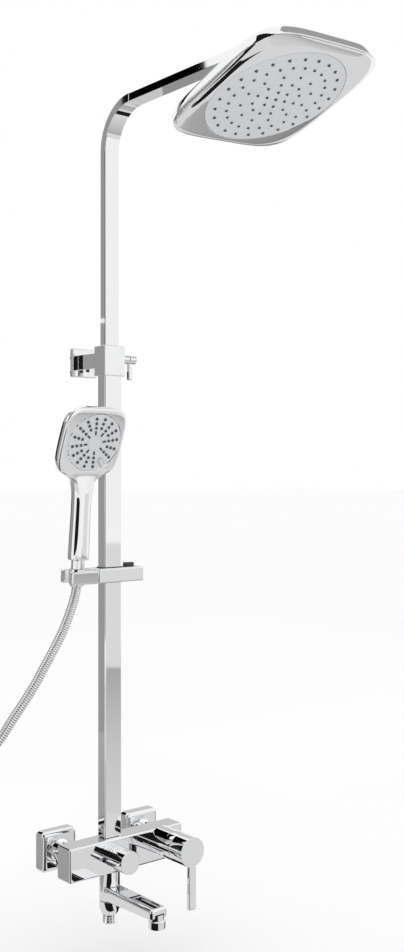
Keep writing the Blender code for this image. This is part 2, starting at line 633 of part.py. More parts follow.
def ball_joint():
    stem_top = ARM_Z - UPPER_DEPTH / 2 + 6.0 - BALL_AT[2]
    outline = [(0, 0), (STEM_NECK, 0), (STEM_NECK, 13.0), (6.5, 14.5), (6.5, stem_top), (0, stem_top)]
    stem = turned("ball_stem", outline, at(*BALL_AT), CHROME)
    combine(stem, [ball("add_ball", BALL_RADIUS, at(*BALL_AT))], "UNION")
    frame = head_frame()
    near = BALL_RADIUS + GAP
    far = near + SEAT_WALL
    mouth = MOUTH_ANGLE - 2
    upper = arc(near, SEAT_EDGE, mouth, 3) + arc(far, mouth, SEAT_EDGE, 3)
    turned("ball_seat_upper", upper, frame, RUBBER)
    lower = arc(near, SEAT_FOOT, -SEAT_EDGE, 4) + arc(far, -SEAT_EDGE, SEAT_FOOT, 4)
    turned("ball_seat_lower", lower, frame, NYLON)


def union_nut():
    frame = head_frame()
    cavity = BALL_RADIUS + SEAT_WALL + 2 * GAP
    inner = arc(cavity, MOUTH_ANGLE, -60, 6)
    top = inner[0][1] + 1.5
    bottom = -13.0
    outline = inner + [(inner[-1][0], bottom), (NECK_RADIUS, bottom), (NECK_RADIUS, top - 2.0),
                       (NECK_RADIUS - 1.6, top), (inner[0][0] + 0.4, top)]
    turned("ball_union_nut", outline, frame, CHROME)


def rain_head():
    frame = head_frame() @ at(0, 0, -HEAD_DROP)
    neck_top = HEAD_DROP - 13.0 - GAP
    rim = HEAD_RIM
    wall = 2.0

    band = rim + HEAD_BAND
    outer = [squircle(HEAD_HALF - 1.0, 4.9, rim - 1.4), squircle(HEAD_HALF, 4.6, rim),
             squircle(HEAD_HALF, 4.6, band - 0.8), squircle(HEAD_HALF - 0.8, 4.6, band)]
    heights = ((0.93, 0.12), (0.78, 0.3), (0.55, 0.5), (0.34, 0.66))
    rise = HEAD_TOP - band
    for share, climb in heights:
        power = 2.0 + 2.6 * share
        outer.append(squircle(HEAD_HALF * share, power, band + rise * climb / 0.7))
    outer.append(squircle(NECK_RADIUS, 2.0, HEAD_TOP + 1.5))
    outer.append(squircle(NECK_RADIUS, 2.0, neck_top))
    shell = loft("head_shell", outer, frame, CHROME)
    inner = [squircle(HEAD_HALF - 1.0 - wall, 4.9, rim - 10.0), squircle(HEAD_HALF - wall, 4.6, rim - 0.6),
             squircle(HEAD_HALF - wall, 4.6, band - wall)]
    for share, climb in heights:
        power = 2.0 + 2.6 * share
        inner.append(squircle(HEAD_HALF * share - wall, power, band + rise * climb / 0.7 - wall))
    inner.append(squircle(8.0, 2.0, HEAD_TOP + 1.5 - wall))
    inner.append(squircle(8.0, 2.0, neck_top + 5.0))
    combine(shell, [loft("cut_head_shell", inner, frame)])

    top = rim - 1.4 - GAP
    under = loft("head_underside", [squircle(HEAD_HALF - 6.0, 7.0, 0.0), squircle(HEAD_HALF - 1.2, 4.9, top)], frame,
                 CHROME)
    combine(under, [rod("cut_underside", PLATE_RADIUS + GAP, 40.0, frame @ at(0, 0, -20.0), sides=64)])

    plate = [(0, -1.6), (PLATE_RADIUS * 0.6, -1.2), (PLATE_RADIUS - 0.8, -0.2), (PLATE_RADIUS, 0.6),
             (PLATE_RADIUS, 4.0), (0, 4.0)]
    turned("spray_plate", plate, frame, GREY, 64)
    ring("nozzle_mat", 4.0, PLATE_RADIUS - 2.0, 2.0, frame @ at(0, 0, 4.0 + GAP), RUBBER, 48)


# ---------------------------------------------------------------- slider and holder

def slider():
    length = SLIDER_RIGHT - SLIDER_LEFT
    middle = at((SLIDER_LEFT + SLIDER_RIGHT) / 2, BODY_CENTRE_Y, SLIDER_Z)
    body = box("slider_body", (length, SLIDER_DEPTH, SLIDER_HEIGHT), middle, CHROME, bevel=2.4)
    hole_width = LOWER_WIDTH + 2 * GAP + 2 * LINER_WALL + 2 * GAP
    hole_depth = LOWER_DEPTH + 2 * GAP + 2 * LINER_WALL + 2 * GAP
    low = SLIDER_Z - SLIDER_HEIGHT / 2
    window = prism("cut_slider_window", tube_outline(hole_width, hole_depth), 80.0, at(*COLUMN, low - 20.0))
    button_size = (15.0, 9.0)
    button_at = (SLIDER_RIGHT - 11.0, BODY_CENTRE_Y + SLIDER_DEPTH / 2 - 7.5)
    pocket = box("cut_button_pocket", (button_size[0] + 2 * GAP, button_size[1] + 2 * GAP, 20.0),
                 at(*button_at, SLIDER_Z + 11.0))
    left = at(SLIDER_LEFT, BODY_CENTRE_Y, SLIDER_Z) @ SIDEWAYS
    pin_hole = rod("cut_tilt_pin_slider", 4.0 + GAP, 30.0, left @ at(0, 0, -19.0), sides=20)
    combine(body, [window, pocket, pin_hole])

    liner = prism("slider_liner", tube_outline(hole_width - 2 * GAP, hole_depth - 2 * GAP), SLIDER_HEIGHT + 2.4,
                  at(*COLUMN, low - 0.9), DARK)
    inside = tube_outline(LOWER_WIDTH + 2 * GAP, LOWER_DEPTH + 2 * GAP)
    combine(liner, [prism("cut_liner", inside, 80.0, at(*COLUMN, low - 20.0))])
    box("release_button", (*button_size, 11.0), at(*button_at, SLIDER_Z + 4.6 + 5.5), DARK, bevel=1.2)
    rod("tilt_pin", 4.0, 20.0, left @ at(0, 0, -10.0), STEEL, sides=20)


def lean_frame():
    return at(HOLDER_X, BODY_CENTRE_Y, SLIDER_Z) @ Matrix.Rotation(math.radians(HOLDER_LEAN), 4, "X")


def holder():
    frame = lean_frame()
    right = SLIDER_LEFT - GAP - HOLDER_X
    left = HOLDER_LEFT - HOLDER_X
    length = right - left
    body = box("hand_holder", (length, SLIDER_DEPTH, HOLDER_HEIGHT), frame @ at((left + right) / 2, 0, 0), CHROME,
               bevel=2.4)
    half = HOLDER_HEIGHT / 2
    flare = (CONE_TOP - CONE_BOTTOM) / HOLDER_HEIGHT
    cone = rod("cut_cone", CONE_BOTTOM + GAP - 5 * flare, HOLDER_HEIGHT + 10.0, frame @ at(0, 0, -half - 5.0),
               end_radius=CONE_TOP + GAP + 5 * flare, sides=36)
    mouth = box("cut_mouth", (60.0, 2 * HOSE_RADIUS + 1.6, 60.0), frame @ at(-30.0, 0, 0))
    pin = rod("cut_tilt_pin", 4.0 + GAP, 20.0, frame @ at(right - 10.4, 0, 0) @ SIDEWAYS, sides=20)
    combine(body, [cone, mouth, pin])


# ---------------------------------------------------------------- hand shower

def hand_shower():
    frame = lean_frame()
    half = HOLDER_HEIGHT / 2
    cone_low = half + 4.0
    outline = [(HOSE_RADIUS + GAP, -cone_low), (CONE_BOTTOM - 0.6, -cone_low), (CONE_BOTTOM, -half),
               (CONE_TOP, half), (CONE_TOP - 0.6, half + 2.0), (HOSE_RADIUS + GAP, half + 2.0)]
    turned("cone_nut", outline, frame, CHROME, 36)
    neck_start = half + 2.0 + GAP
    hand_shell(frame, neck_start)
    spray_face(frame)


def grip_ring(centre, up, back, width, front_depth, back_depth, power):
    """One cross-section of the hand shower, square to the direction of up."""
    points = []
    for step in range(24):
        a = 2 * math.pi * (step + 0.5) / 24
        c, s = math.cos(a), math.sin(a)
        reach = 1.0 / (abs(c) ** power + abs(s) ** power) ** (1 / power)
        depth = front_depth if s < 0 else back_depth
        points.append(tuple(centre + Vector((reach * c * width, 0, 0)) + back * (reach * s * depth)))
    return points


def hand_shell(frame, neck_start):
    tilt = math.radians(FACE_TILT)
    face_up = Vector((0, -math.sin(tilt), math.cos(tilt)))
    face_back = Vector((0, math.cos(tilt), math.sin(tilt)))
    face = Vector(FACE_AT)
    straight_up = Vector((0, 0, 1))
    rings = []
    half_w, half_d = GRIP_WIDTH / 2, GRIP_DEPTH / 2
    foot = Vector((0, 0, GRIP_START))
    for height, swell in ((0.0, 0.94), (1.6, 1.0), (30.0, 0.97), (62.0, 0.93), (88.0, 0.93)):
        rings.append(grip_ring(foot + straight_up * height, straight_up, Vector((0, 1, 0)), half_w * swell,
                               half_d * swell, half_d * swell, 2.3))
    grip_top = foot.z + 88.0
    head_low = face - face_up * FACE_HALF_HEIGHT
    for share in (0.45, 0.8):
        height = grip_top + (head_low.z + 6.0 - grip_top) * share
        blend = share * share
        up = straight_up.lerp(face_up, share).normalized()
        back = Vector((0, up.z, -up.y))
        centre = Vector((0, (head_low.y + 10.0) * blend, height))
        rings.append(grip_ring(centre, up, back, half_w * 0.93 + 9.0 * blend, half_d * 0.93 - 2.0 * blend,
                               half_d * 0.93, 2.3 + blend))
    for share in (-0.93, -0.8, -0.55, -0.2, 0.2, 0.55, 0.8, 0.93, 0.985):
        width = FACE_HALF_WIDTH * (1 - abs(share) ** 5.0) ** (1 / 3.4)
        depth = HEAD_THICK * (1 - max(0.0, share) ** 4) ** 0.5
        centre = face + face_up * (share * FACE_HALF_HEIGHT) + Vector((FACE_SHIFT, 0, 0))
        crown = FACE_CROWN * (1 - abs(share) ** 4) ** 0.5
        rings.append(grip_ring(centre + face_back * 4.6, face_up, face_back, max(width, 20.0), crown + 0.4,
                               max(depth - 6.6, 5.0), 3.4))
    shell = loft("hand_shell", rings, frame, CHROME)
    neck = rod("add_hand_neck", 9.8, GRIP_START - neck_start + 4.0, frame @ at(0, 0, neck_start))
    combine(shell, [neck], "UNION")
    face_frame = spray_frame(frame)
    recess = rod("cut_face", FACE_RADIUS + GAP, 30.0, face_frame @ at(0, 0, -11.0), sides=56)
    bore = rod("cut_grip_bore", 5.5, 80.0, frame @ at(0, 0, neck_start - 5.0), sides=16)
    combine(shell, [recess, bore])


def spray_frame(frame):
    """Centre of the spray face, with local +Z out of the face."""
    return frame @ at(*FACE_AT) @ Matrix.Rotation(math.radians(90 + FACE_TILT), 4, "X")


def spray_face(frame):
    face = spray_frame(frame)
    rod("hand_nozzle_mat", FACE_RADIUS - 1.6, 1.6, face @ at(0, 0, -7.3), RUBBER, sides=40)
    outline = [(0, -5.4), (FACE_RADIUS, -5.4), (FACE_RADIUS, -0.6), (FACE_RADIUS - 0.8, 0.2), (FACE_RADIUS * 0.6, 0.9),
               (0, 1.1)]
    dial = turned("spray_selector", outline, face, GREY, 56)
    tab_at = face @ Matrix.Rotation(math.radians(TAB_ANGLE), 4, "Z") @ at(FACE_RADIUS - 9.0, 0, 1.6)
    combine(dial, [box("add_tab", (13.0, 6.0, 4.0), tab_at, bevel=1.2)], "UNION")


# ---------------------------------------------------------------- hose

def smooth_route(points, spacing):
    """Points about one spacing apart on a smooth curve through the route."""
    dense = []
    padded = [points[0]] + points + [points[-1]]
    for i in range(len(points) - 1):
        p0, p1, p2, p3 = (Vector(p) for p in padded[i:i + 4])
        for step in range(20):
            t = step / 20
            dense.append(0.5 * (2 * p1 + (p2 - p0) * t + (2 * p0 - 5 * p1 + 4 * p2 - p3) * t * t
                                + (3 * p1 - p0 - 3 * p2 + p3) * t ** 3))
    dense.append(Vector(points[-1]))
    kept = [dense[0]]
    for point in dense[1:]:
        if (point - kept[-1]).length >= spacing:
            kept.append(point)
    if (dense[-1] - kept[-1]).length > spacing / 2:
        kept.append(dense[-1])
    return kept


def hose():
    route = smooth_route(HOSE_ROUTE, 2.5 * HOSE_RADIUS)
    curve = bpy.data.curves.new("shower_hose", "CURVE")
    curve.dimensions = "3D"
    curve.bevel_depth = (HOSE_RADIUS - GAP) * MM
    curve.bevel_resolution = 2
    curve.use_fill_caps = True
    spline = curve.splines.new("POLY")
    spline.points.add(len(route) - 1)
    for slot, point in zip(spline.points, route):
        slot.co = (*(point * MM), 1.0)
    curve.materials.append(material(STEEL))
    PARTS.objects.link(bpy.data.objects.new("shower_hose", curve))
    coil = [(COIL_INNER, COIL_BACK), (COIL_OUTER, COIL_BACK), (COIL_OUTER, COIL_FRONT), (COIL_INNER, COIL_FRONT)]
    turned("hose_coil", coil, at(*COIL_AT) @ FORWARD, STEEL, 40)
    nut_reach = COIL_INNER - END_NUT_RADIUS - 4.0
    end = at(COIL_AT[0] + nut_reach, -END_NUT_RADIUS - 2.0, COIL_AT[2] - END_NUT_LENGTH / 2)
    ring("hose_end_nut", HOSE_RADIUS + GAP, END_NUT_RADIUS, END_NUT_LENGTH, end, CHROME, 24)


def build():
    for side, sign in (("left", -1), ("right", 1)):
        wall_connection(side, sign)
    mixer_body()
    mixer_cartridge()
    lift_handle(handle_carrier())
    diverter()
    outlet_and_spout()
    lower_tube()
    upper_tube()
    height_lock()
    wall_bracket()
    ball_joint()
    union_nut()
    rain_head()
    slider()
    holder()
    hand_shower()
    hose()


build()
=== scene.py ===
# %% [markdown]
# # Rainfall shower column
# A bath mixer on two wall unions carries a tube that slides up and down, an arm with a square rain
# head, and a hand shower in a sliding holder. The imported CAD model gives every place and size. This
# script gives each visible piece its smooth form and its finish, one cell at a time.

# %% Load the frame
import json
import math

import bmesh
import bpy
from mathutils import Matrix, Vector


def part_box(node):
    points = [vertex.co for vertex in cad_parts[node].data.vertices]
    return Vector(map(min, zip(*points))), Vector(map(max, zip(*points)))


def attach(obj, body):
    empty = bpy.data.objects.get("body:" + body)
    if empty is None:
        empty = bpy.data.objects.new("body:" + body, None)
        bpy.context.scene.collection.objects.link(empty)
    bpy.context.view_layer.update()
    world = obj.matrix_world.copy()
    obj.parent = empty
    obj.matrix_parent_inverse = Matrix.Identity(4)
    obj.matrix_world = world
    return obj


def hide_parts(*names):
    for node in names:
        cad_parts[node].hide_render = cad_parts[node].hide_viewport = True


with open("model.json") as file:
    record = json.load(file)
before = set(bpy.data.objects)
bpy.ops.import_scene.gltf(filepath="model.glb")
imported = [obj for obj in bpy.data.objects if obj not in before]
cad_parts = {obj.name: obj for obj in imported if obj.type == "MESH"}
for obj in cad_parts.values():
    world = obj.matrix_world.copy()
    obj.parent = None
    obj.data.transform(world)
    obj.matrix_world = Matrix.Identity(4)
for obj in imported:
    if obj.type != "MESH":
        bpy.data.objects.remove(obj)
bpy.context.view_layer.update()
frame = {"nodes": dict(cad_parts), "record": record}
MM = 0.001

# %% [markdown]
# ## The camera and the hose come first
# The hose is a loose cord, so its place has to be settled before anything else. The camera stands to
# the left of the column at mid height and looks level, so upright edges stay upright.

# %% Camera
CAMERA_AT = (-0.9845, -1.434, 0.54905)
CAMERA_TURN = -39.91
LENS, SENSOR_WIDTH, LENS_SHIFT = 43.09, 36.0, -0.0017
eye = bpy.data.cameras.new("camera")
eye.lens = LENS
eye.sensor_width = SENSOR_WIDTH
eye.shift_y = LENS_SHIFT
camera = bpy.data.objects.new("camera", eye)
camera.location = CAMERA_AT
camera.rotation_euler = (math.radians(90), 0, math.radians(CAMERA_TURN))
bpy.context.scene.collection.objects.link(camera)
bpy.context.scene.camera = camera
print("camera:", CAMERA_AT, "turned", CAMERA_TURN, "degrees")


# %% [markdown]
# ## Small helpers
# Every operator acts on what is selected, so a helper clears the selection first. A finished piece
# keeps its object at the origin and its place in its mesh. Places are written as matrices: a move,
# then the turn of the part's own axis, so that a fitting is modelled upright and laid over at the end.

# %% Helpers for placing and finishing
def at(x, y, z):
    """A move given in millimetres."""
    return Matrix.Translation(Vector((x, y, z)) * MM)


FORWARD = Matrix.Rotation(math.pi / 2, 4, "X")      # local +Z becomes world -Y
SIDEWAYS = Matrix.Rotation(math.pi / 2, 4, "Y")     # local +Z becomes world +X
DOWNWARD = Matrix.Rotation(math.pi, 4, "X")
UPRIGHT = Matrix.Identity(4)


def cad_box(node):
    """The middle and the size of a CAD node at rest, in millimetres."""
    low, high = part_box(node)
    return (low + high) / 2 / MM, (high - low) / MM


def only(piece):
    """Select one piece and nothing else."""
    bpy.ops.object.select_all(action="DESELECT")
    piece.select_set(True)
    bpy.context.view_layer.objects.active = piece


def settle(piece, place=UPRIGHT):
    """Put the mesh where it belongs and leave the object at the origin."""
    only(piece)
    piece.matrix_world = place @ piece.matrix_world
    bpy.ops.object.transform_apply(location=True, rotation=True, scale=True)
    return piece


def edit(piece, pick="DESELECT"):
    """Start edit mode with all or nothing selected."""
    only(piece)
    bpy.ops.object.mode_set(mode="EDIT")
    bpy.ops.mesh.select_mode(type="VERT")
    bpy.ops.mesh.select_all(action=pick)


def done():
    """Leave edit mode."""
    bpy.ops.object.mode_set(mode="OBJECT")


def choose(piece, kind, test):
    """In edit mode, select the faces, edges or vertices that pass a test."""
    done()
    mesh = piece.data
    for group in (mesh.vertices, mesh.edges, mesh.polygons):
        group.foreach_set("select", [False] * len(group))
    group = {"VERT": mesh.vertices, "EDGE": mesh.edges, "FACE": mesh.polygons}[kind]
    for item in group:
        item.select = bool(test(item))
    bpy.ops.object.mode_set(mode="EDIT")
    bpy.ops.mesh.select_mode(type=kind)


def apply_all(piece):
    """Apply every modifier, first to last."""
    only(piece)
    for modifier in list(piece.modifiers):
        bpy.ops.object.modifier_apply(modifier=modifier.name)


def soften(piece, width, segments=3, angle=35):
    """Round the sharp edges, so that they catch a highlight."""
    bevel = piece.modifiers.new("soften", "BEVEL")
    bevel.width = width * MM
    bevel.segments = segments
    bevel.limit_method = "ANGLE"
    bevel.angle_limit = math.radians(angle)
    apply_all(piece)
    smooth(piece)
    return piece


def smooth(piece, angle=30, flats=True):
    """Shade smooth. With flats, large flat faces keep their own normals and mirror like plane glass."""
    only(piece)
    bpy.ops.object.shade_smooth_by_angle(angle=math.radians(angle))
    if flats:
        even = piece.modifiers.new("even", "WEIGHTED_NORMAL")
        even.keep_sharp = True
    apply_all(piece)


def combine(piece, tool, operation):
    """Merge or cut one shape with another and throw the other away."""
    step = piece.modifiers.new("combine", "BOOLEAN")
    step.operation = operation
    step.solver = "EXACT"
    step.object = tool
    apply_all(piece)
    bpy.data.objects.remove(tool)


def cut(piece, tool):
    combine(piece, tool, "DIFFERENCE")


def merge(piece, other):
    combine(piece, other, "UNION")


def join(pieces, name):
    """One object of several meshes that keep their own skins."""
    only(pieces[0])
    for piece in pieces:
        piece.select_set(True)
    bpy.ops.object.join()
    pieces[0].name = name
    return pieces[0]


# %% [markdown]
# Two starts cover most of the fittings. A block is a cube whose upright edges are rounded first. A
# turned piece is a circle that is extruded and scaled ring by ring along its profile, which is what
# a lathe does.

# %% Helpers for blocks and turned pieces
TINY = 1e-6


def block(name, size, place, corner=0.0, segments=6):
    """A box round its place, with the edges along its own Z rounded."""
    bpy.ops.object.select_all(action="DESELECT")
    bpy.ops.mesh.primitive_cube_add(size=1.0)
    piece = bpy.context.active_object
    piece.name = name
    piece.scale = [s * MM for s in size]
    settle(piece)
    if corner:
        edit(piece)
        spots = piece.data.vertices
        choose(piece, "EDGE", lambda e: abs(spots[e.vertices[0]].co.z - spots[e.vertices[1]].co.z) > TINY)
        bpy.ops.mesh.bevel(offset=corner * MM, segments=segments, affect="EDGES")
        done()
    return settle(piece, place)


def turned(name, profile, place, sides=96, closed=False):
    """Extrude and scale a circle along a profile of (radius, height), in millimetres."""
    bpy.ops.object.select_all(action="DESELECT")
    radius, height = profile[0]
    bpy.ops.mesh.primitive_circle_add(vertices=sides, radius=radius * MM, location=(0, 0, height * MM))
    piece = bpy.context.active_object
    piece.name = name
    settle(piece)
    edit(piece, "SELECT")
    steps = profile[1:] + ([profile[0]] if closed else [])
    for next_radius, next_height in steps:
        bpy.ops.mesh.extrude_region_move(
            TRANSFORM_OT_translate={"value": (0, 0, (next_height - height) * MM)})
        share = next_radius / radius
        bpy.ops.transform.resize(value=(share, share, 1))
        radius, height = next_radius, next_height
    bpy.ops.mesh.select_all(action="SELECT")
    bpy.ops.mesh.remove_doubles(threshold=TINY)
    if not closed:
        bpy.ops.mesh.fill_holes(sides=0)
    bpy.ops.mesh.select_all(action="SELECT")
    bpy.ops.mesh.normals_make_consistent(inside=False)
    done()
    settle(piece, place)
    smooth(piece)
    return piece


def arc(radius, start, end, steps):
    """Points of (radius, height) on a circle about the pivot, from one angle to another."""
    angles = [math.radians(start + (end - start) * i / steps) for i in range(steps + 1)]
    return [(radius * math.cos(a), radius * math.sin(a)) for a in angles]


# %% [markdown]
# Some skins change their outline as they go: a round neck becomes a square head. No primitive does
# that, so their cross-sections are written as rings of points, and this helper joins each ring to
# the next with a band of faces.

# %% Helper for skins
def skin(name, rings, place, cap_start=True, cap_end=True):
    """Join rings of points, in millimetres, into one surface."""
    bm = bmesh.new()
    loops = [[bm.verts.new(Vector(p) * MM) for p in points] for points in rings]
    for low_ring, high_ring in zip(loops, loops[1:]):
        for i in range(len(low_ring)):
            j = (i + 1) % len(low_ring)
            bm.faces.new((low_ring[i], low_ring[j], high_ring[j], high_ring[i]))
    if cap_start:
        bm.faces.new(loops[0][::-1])
    if cap_end:
        bm.faces.new(loops[-1])
    bmesh.ops.recalc_face_normals(bm, faces=bm.faces)
    mesh = bpy.data.meshes.new(name)
    bm.to_mesh(mesh)
    bm.free()
    made = bpy.data.objects.new(name, mesh)
    bpy.context.scene.collection.objects.link(made)
    return settle(made, place)


# %% [markdown]
# ## Finishes
# Polished chrome is a metal with almost no roughness. Real plating still shows a faint haze where it
# was wiped, and an almost flat ripple, so roughness follows two noises and a very small bump follows
# a third. An image could hold the same marks, but noise needs no file and no UV map. Shader maths is
# easier to read as Python expressions, so one small class wraps a socket.

# %% Shader helpers
class Wire:
    """A number socket with Python's operators, each of which adds a Math node."""

    def __init__(self, tree, socket):
        self.tree = tree
        self.socket = socket

    def maths(self, operation, *values):
        node = self.tree.nodes.new("ShaderNodeMath")
        node.operation = operation
        for slot, value in zip(node.inputs, values):
            if isinstance(value, Wire):
                self.tree.links.new(value.socket, slot)
            else:
                slot.default_value = value
        return Wire(self.tree, node.outputs[0])

    def __add__(self, other):
        return self.maths("ADD", self, other)

    __radd__ = __add__

    def __mul__(self, other):
        return self.maths("MULTIPLY", self, other)

    __rmul__ = __mul__

    def __sub__(self, other):
        return self.maths("SUBTRACT", self, other)

    def __rsub__(self, other):
        return self.maths("SUBTRACT", other, self)


class Finish:
    """A material under construction."""

    def __init__(self, name, colour, roughness, metallic=0.0, **more):
        self.material = bpy.data.materials.new(name)
        self.material.use_nodes = True
        self.tree = self.material.node_tree
        self.shader = self.tree.nodes["Principled BSDF"]
        self.shader.inputs["Base Color"].default_value = (*colour, 1.0)
        self.shader.inputs["Roughness"].default_value = roughness
        self.shader.inputs["Metallic"].default_value = metallic
        for socket, value in more.items():
            self.shader.inputs[socket.replace("_", " ")].default_value = value
        self.place = self.node("ShaderNodeTexCoord").outputs["Object"]

    def node(self, kind, settings=None, **sockets):
        made = self.tree.nodes.new(kind)
        for key, value in (settings or {}).items():
            setattr(made, key, value)
        for key, value in sockets.items():
            socket = made.inputs[key.replace("_", " ")]
            if isinstance(value, Wire):
                self.tree.links.new(value.socket, socket)
            elif isinstance(value, bpy.types.NodeSocket):
                self.tree.links.new(value, socket)
            else:
                socket.default_value = value
        return made

    def noise(self, scale, detail=2.0, vector=None):
        made = self.node("ShaderNodeTexNoise", Vector=vector or self.place, Scale=scale, Detail=detail)
        return Wire(self.tree, made.outputs["Fac"])

    def feed(self, socket, value):
        source = value.socket if isinstance(value, Wire) else value
        self.tree.links.new(source, self.shader.inputs[socket])

    def bump(self, height, strength, distance):
        made = self.node("ShaderNodeBump", Height=height, Strength=strength, Distance=distance)
        self.feed("Normal", made.outputs["Normal"])

    def tint(self, mask, dark, light):
        """Colour between two tones, by a mask."""
        made = self.node("ShaderNodeMix", {"data_type": "RGBA"})
        self.tree.links.new(mask.socket, made.inputs["Factor"])
        made.inputs[6].default_value = (*dark, 1.0)
        made.inputs[7].default_value = (*light, 1.0)
        self.feed("Base Color", made.outputs[2])


# %% Chrome
CHROME_COLOUR, CHROME_ROUGHNESS = (0.9, 0.905, 0.915), 0.035
plating = Finish("polished_chrome", CHROME_COLOUR, CHROME_ROUGHNESS, 1.0)
haze = plating.noise(9.0, 4.0)
speck = plating.noise(420.0, 1.0)
plating.feed("Roughness", haze * 0.03 + speck * 0.012 + CHROME_ROUGHNESS - 0.02)
plating.bump(plating.noise(60.0, 2.0), 0.02, 0.0004)
chrome = plating.material


# %% Satin grey, rubber, plastic, brass and steel
def satin(name, dark, light, roughness, scale=700.0, lift=0.15, metallic=0.0):
    """A moulded or brushed surface: fine grain in colour, roughness and bump."""
    made = Finish(name, light, roughness, metallic)
    grain = made.noise(scale, 3.0)
    cloud = made.noise(25.0, 2.0)
    made.tint(cloud * 0.6 + grain * 0.4, dark, light)
    made.feed("Roughness", roughness + grain * 0.12 - 0.06)
    made.bump(grain, lift, 0.0003)
    return made.material


spray_grey = satin("spray_plate_grey", (0.56, 0.57, 0.59), (0.66, 0.67, 0.69), 0.34, 900.0, 0.08)
dark_plastic = satin("dark_moulded_plastic", (0.025, 0.025, 0.028), (0.05, 0.05, 0.055), 0.4)
rubber = satin("nozzle_rubber", (0.055, 0.055, 0.06), (0.09, 0.09, 0.095), 0.6)
nylon = satin("white_nylon", (0.7, 0.7, 0.68), (0.82, 0.82, 0.8), 0.5)
brass = satin("machined_brass", (0.55, 0.4, 0.18), (0.75, 0.58, 0.3), 0.28, 300.0, 0.1, 1.0)
hose_metal = satin("hose_steel", (0.78, 0.79, 0.81), (0.9, 0.91, 0.92), 0.11, 500.0, 0.06, 1.0)
steel = satin("plain_steel", (0.5, 0.5, 0.51), (0.64, 0.64, 0.65), 0.28, 600.0, 0.15, 1.0)
FINISHES = {"chrome": chrome, "brass": brass, "spray_grey": spray_grey, "dark_plastic": dark_plastic,
            "rubber": rubber, "nylon": nylon, "steel": steel}
SLOT_OF = {part["node"]: part["material_slot"] for part in frame["record"]["subparts"]}
BODY_OF = {node: body for body, nodes in frame["record"]["behaviour"]["bodies"].items() for node in nodes}


def coat(piece, finish):
    """Give a piece one material."""
    piece.data.materials.clear()
    piece.data.materials.append(finish)


for node, piece in frame["nodes"].items():
    coat(piece, FINISHES[SLOT_OF[node]])


def goes_with(piece, node, finish=None, slot=None):
    """A piece that rides with a CAD node and takes its finish from a slot."""
    slot = slot or SLOT_OF[node]
    coat(piece, finish or FINISHES[slot])
    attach(piece, BODY_OF[node])
    print(piece.name, "rides on", BODY_OF[node], "with", len(piece.data.polygons), "faces")


def stands_for(piece, *nodes, finish=None):
    """A piece that also takes the place of CAD nodes."""
    goes_with(piece, nodes[0], finish)
    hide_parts(*nodes)


# %% [markdown]
# ## The hose
# An interlocked metal hose is a narrow strip wound so that each turn hooks into the last, which
# leaves a fine groove at a steady pitch. It is 1.5 m long and 14 mm thick. The path runs out of the
# cone nut, sags down to the left, and the length that nobody sees lies in a round coil. A bevelled
# curve would give a smooth tube, and a bump map would leave its outline smooth. A tube of rings
# along the path, with one ring of every four drawn in for the groove, has the real outline.

# %% Hose path
HOSE_ROUTE = [(-78.0, -70.6, 388.6), (-79.0, -69.6, 378.0), (-82.7, -68.3, 364.3), (-90.0, -66.2, 343.0),
              (-101.7, -64.5, 318.3), (-113.9, -63.6, 298.1), (-128.0, -62.6, 275.8), (-142.1, -61.7, 254.0),
              (-158.0, -60.7, 232.7), (-173.7, -59.9, 213.5), (-195.0, -58.7, 186.4), (-221.0, -57.6, 161.0)]
HOSE_RADIUS = 7.0
COIL_X, COIL_Z = -288.0, 214.0
COIL_STEPS = 72
INNER_TURN, NUT_TURN = 60.0, 36.0       # radius of the last full turn, and of the nut's place in it
TAIL_SWEEP, LEAD_SWEEP = 200.0, 120.0   # degrees in which the end turns in, and the start steps back
STEP_BACK, COIL_DEPTH = 14.1, 29.0


def ease(t):
    """From 0 to 1 with a soft start and a soft stop."""
    return t * t * (3 - 2 * t)


def coil_points():
    """A flat spiral, clockwise from the front, that ends at the nut inside it."""
    from_x, from_y, from_z = HOSE_ROUTE[-1]
    start = math.degrees(math.atan2(from_z - COIL_Z, from_x - COIL_X))
    first = math.hypot(from_z - COIL_Z, from_x - COIL_X)
    sweep = 1080 + start
    made = []
    for i in range(1, COIL_STEPS + 1):
        gone = sweep * (i / COIL_STEPS)
        wound = min(1.0, gone / (sweep - TAIL_SWEEP))
        tail = max(0.0, (gone - (sweep - TAIL_SWEEP)) / TAIL_SWEEP)
        radius = first - 1.5 + (INNER_TURN - first) * wound - (INNER_TURN - NUT_TURN) * ease(tail)
        y = from_y + STEP_BACK * ease(min(1.0, gone / LEAD_SWEEP)) + COIL_DEPTH * max(0.0, wound - 0.1) / 0.9
        a = math.radians(start - gone)
        made.append((COIL_X + radius * math.cos(a), y, COIL_Z + radius * math.sin(a)))
    return made


def curve_through(points, step, pieces=40):
    """Points one step apart on a smooth curve through the given ones."""
    padded = [points[0]] + list(points) + [points[-1]]
    dense = []
    for i in range(len(points) - 1):
        p0, p1, p2, p3 = (Vector(p) for p in padded[i:i + 4])
        for k in range(pieces):
            t = k / pieces
            dense.append(0.5 * (2 * p1 + (p2 - p0) * t + (2 * p0 - 5 * p1 + 4 * p2 - p3) * t * t
                                + (3 * p1 - p0 - 3 * p2 + p3) * t ** 3))
    dense.append(Vector(points[-1]))
    kept, walked, want = [dense[0]], 0.0, step
    for a, b in zip(dense, dense[1:]):
        length = (b - a).length
        while walked + length >= want:
            kept.append(a.lerp(b, (want - walked) / length))
            want += step
        walked += length
    return kept, walked


GROOVE = (0.0, 0.0, 0.05, 0.8)          # how far each ring of a pitch is drawn in
HOSE_PITCH = 3.4
hose_line, hose_length = curve_through(HOSE_ROUTE + coil_points(), HOSE_PITCH / len(GROOVE))
print("hose path:", round(hose_length), "mm in", len(hose_line), "steps")


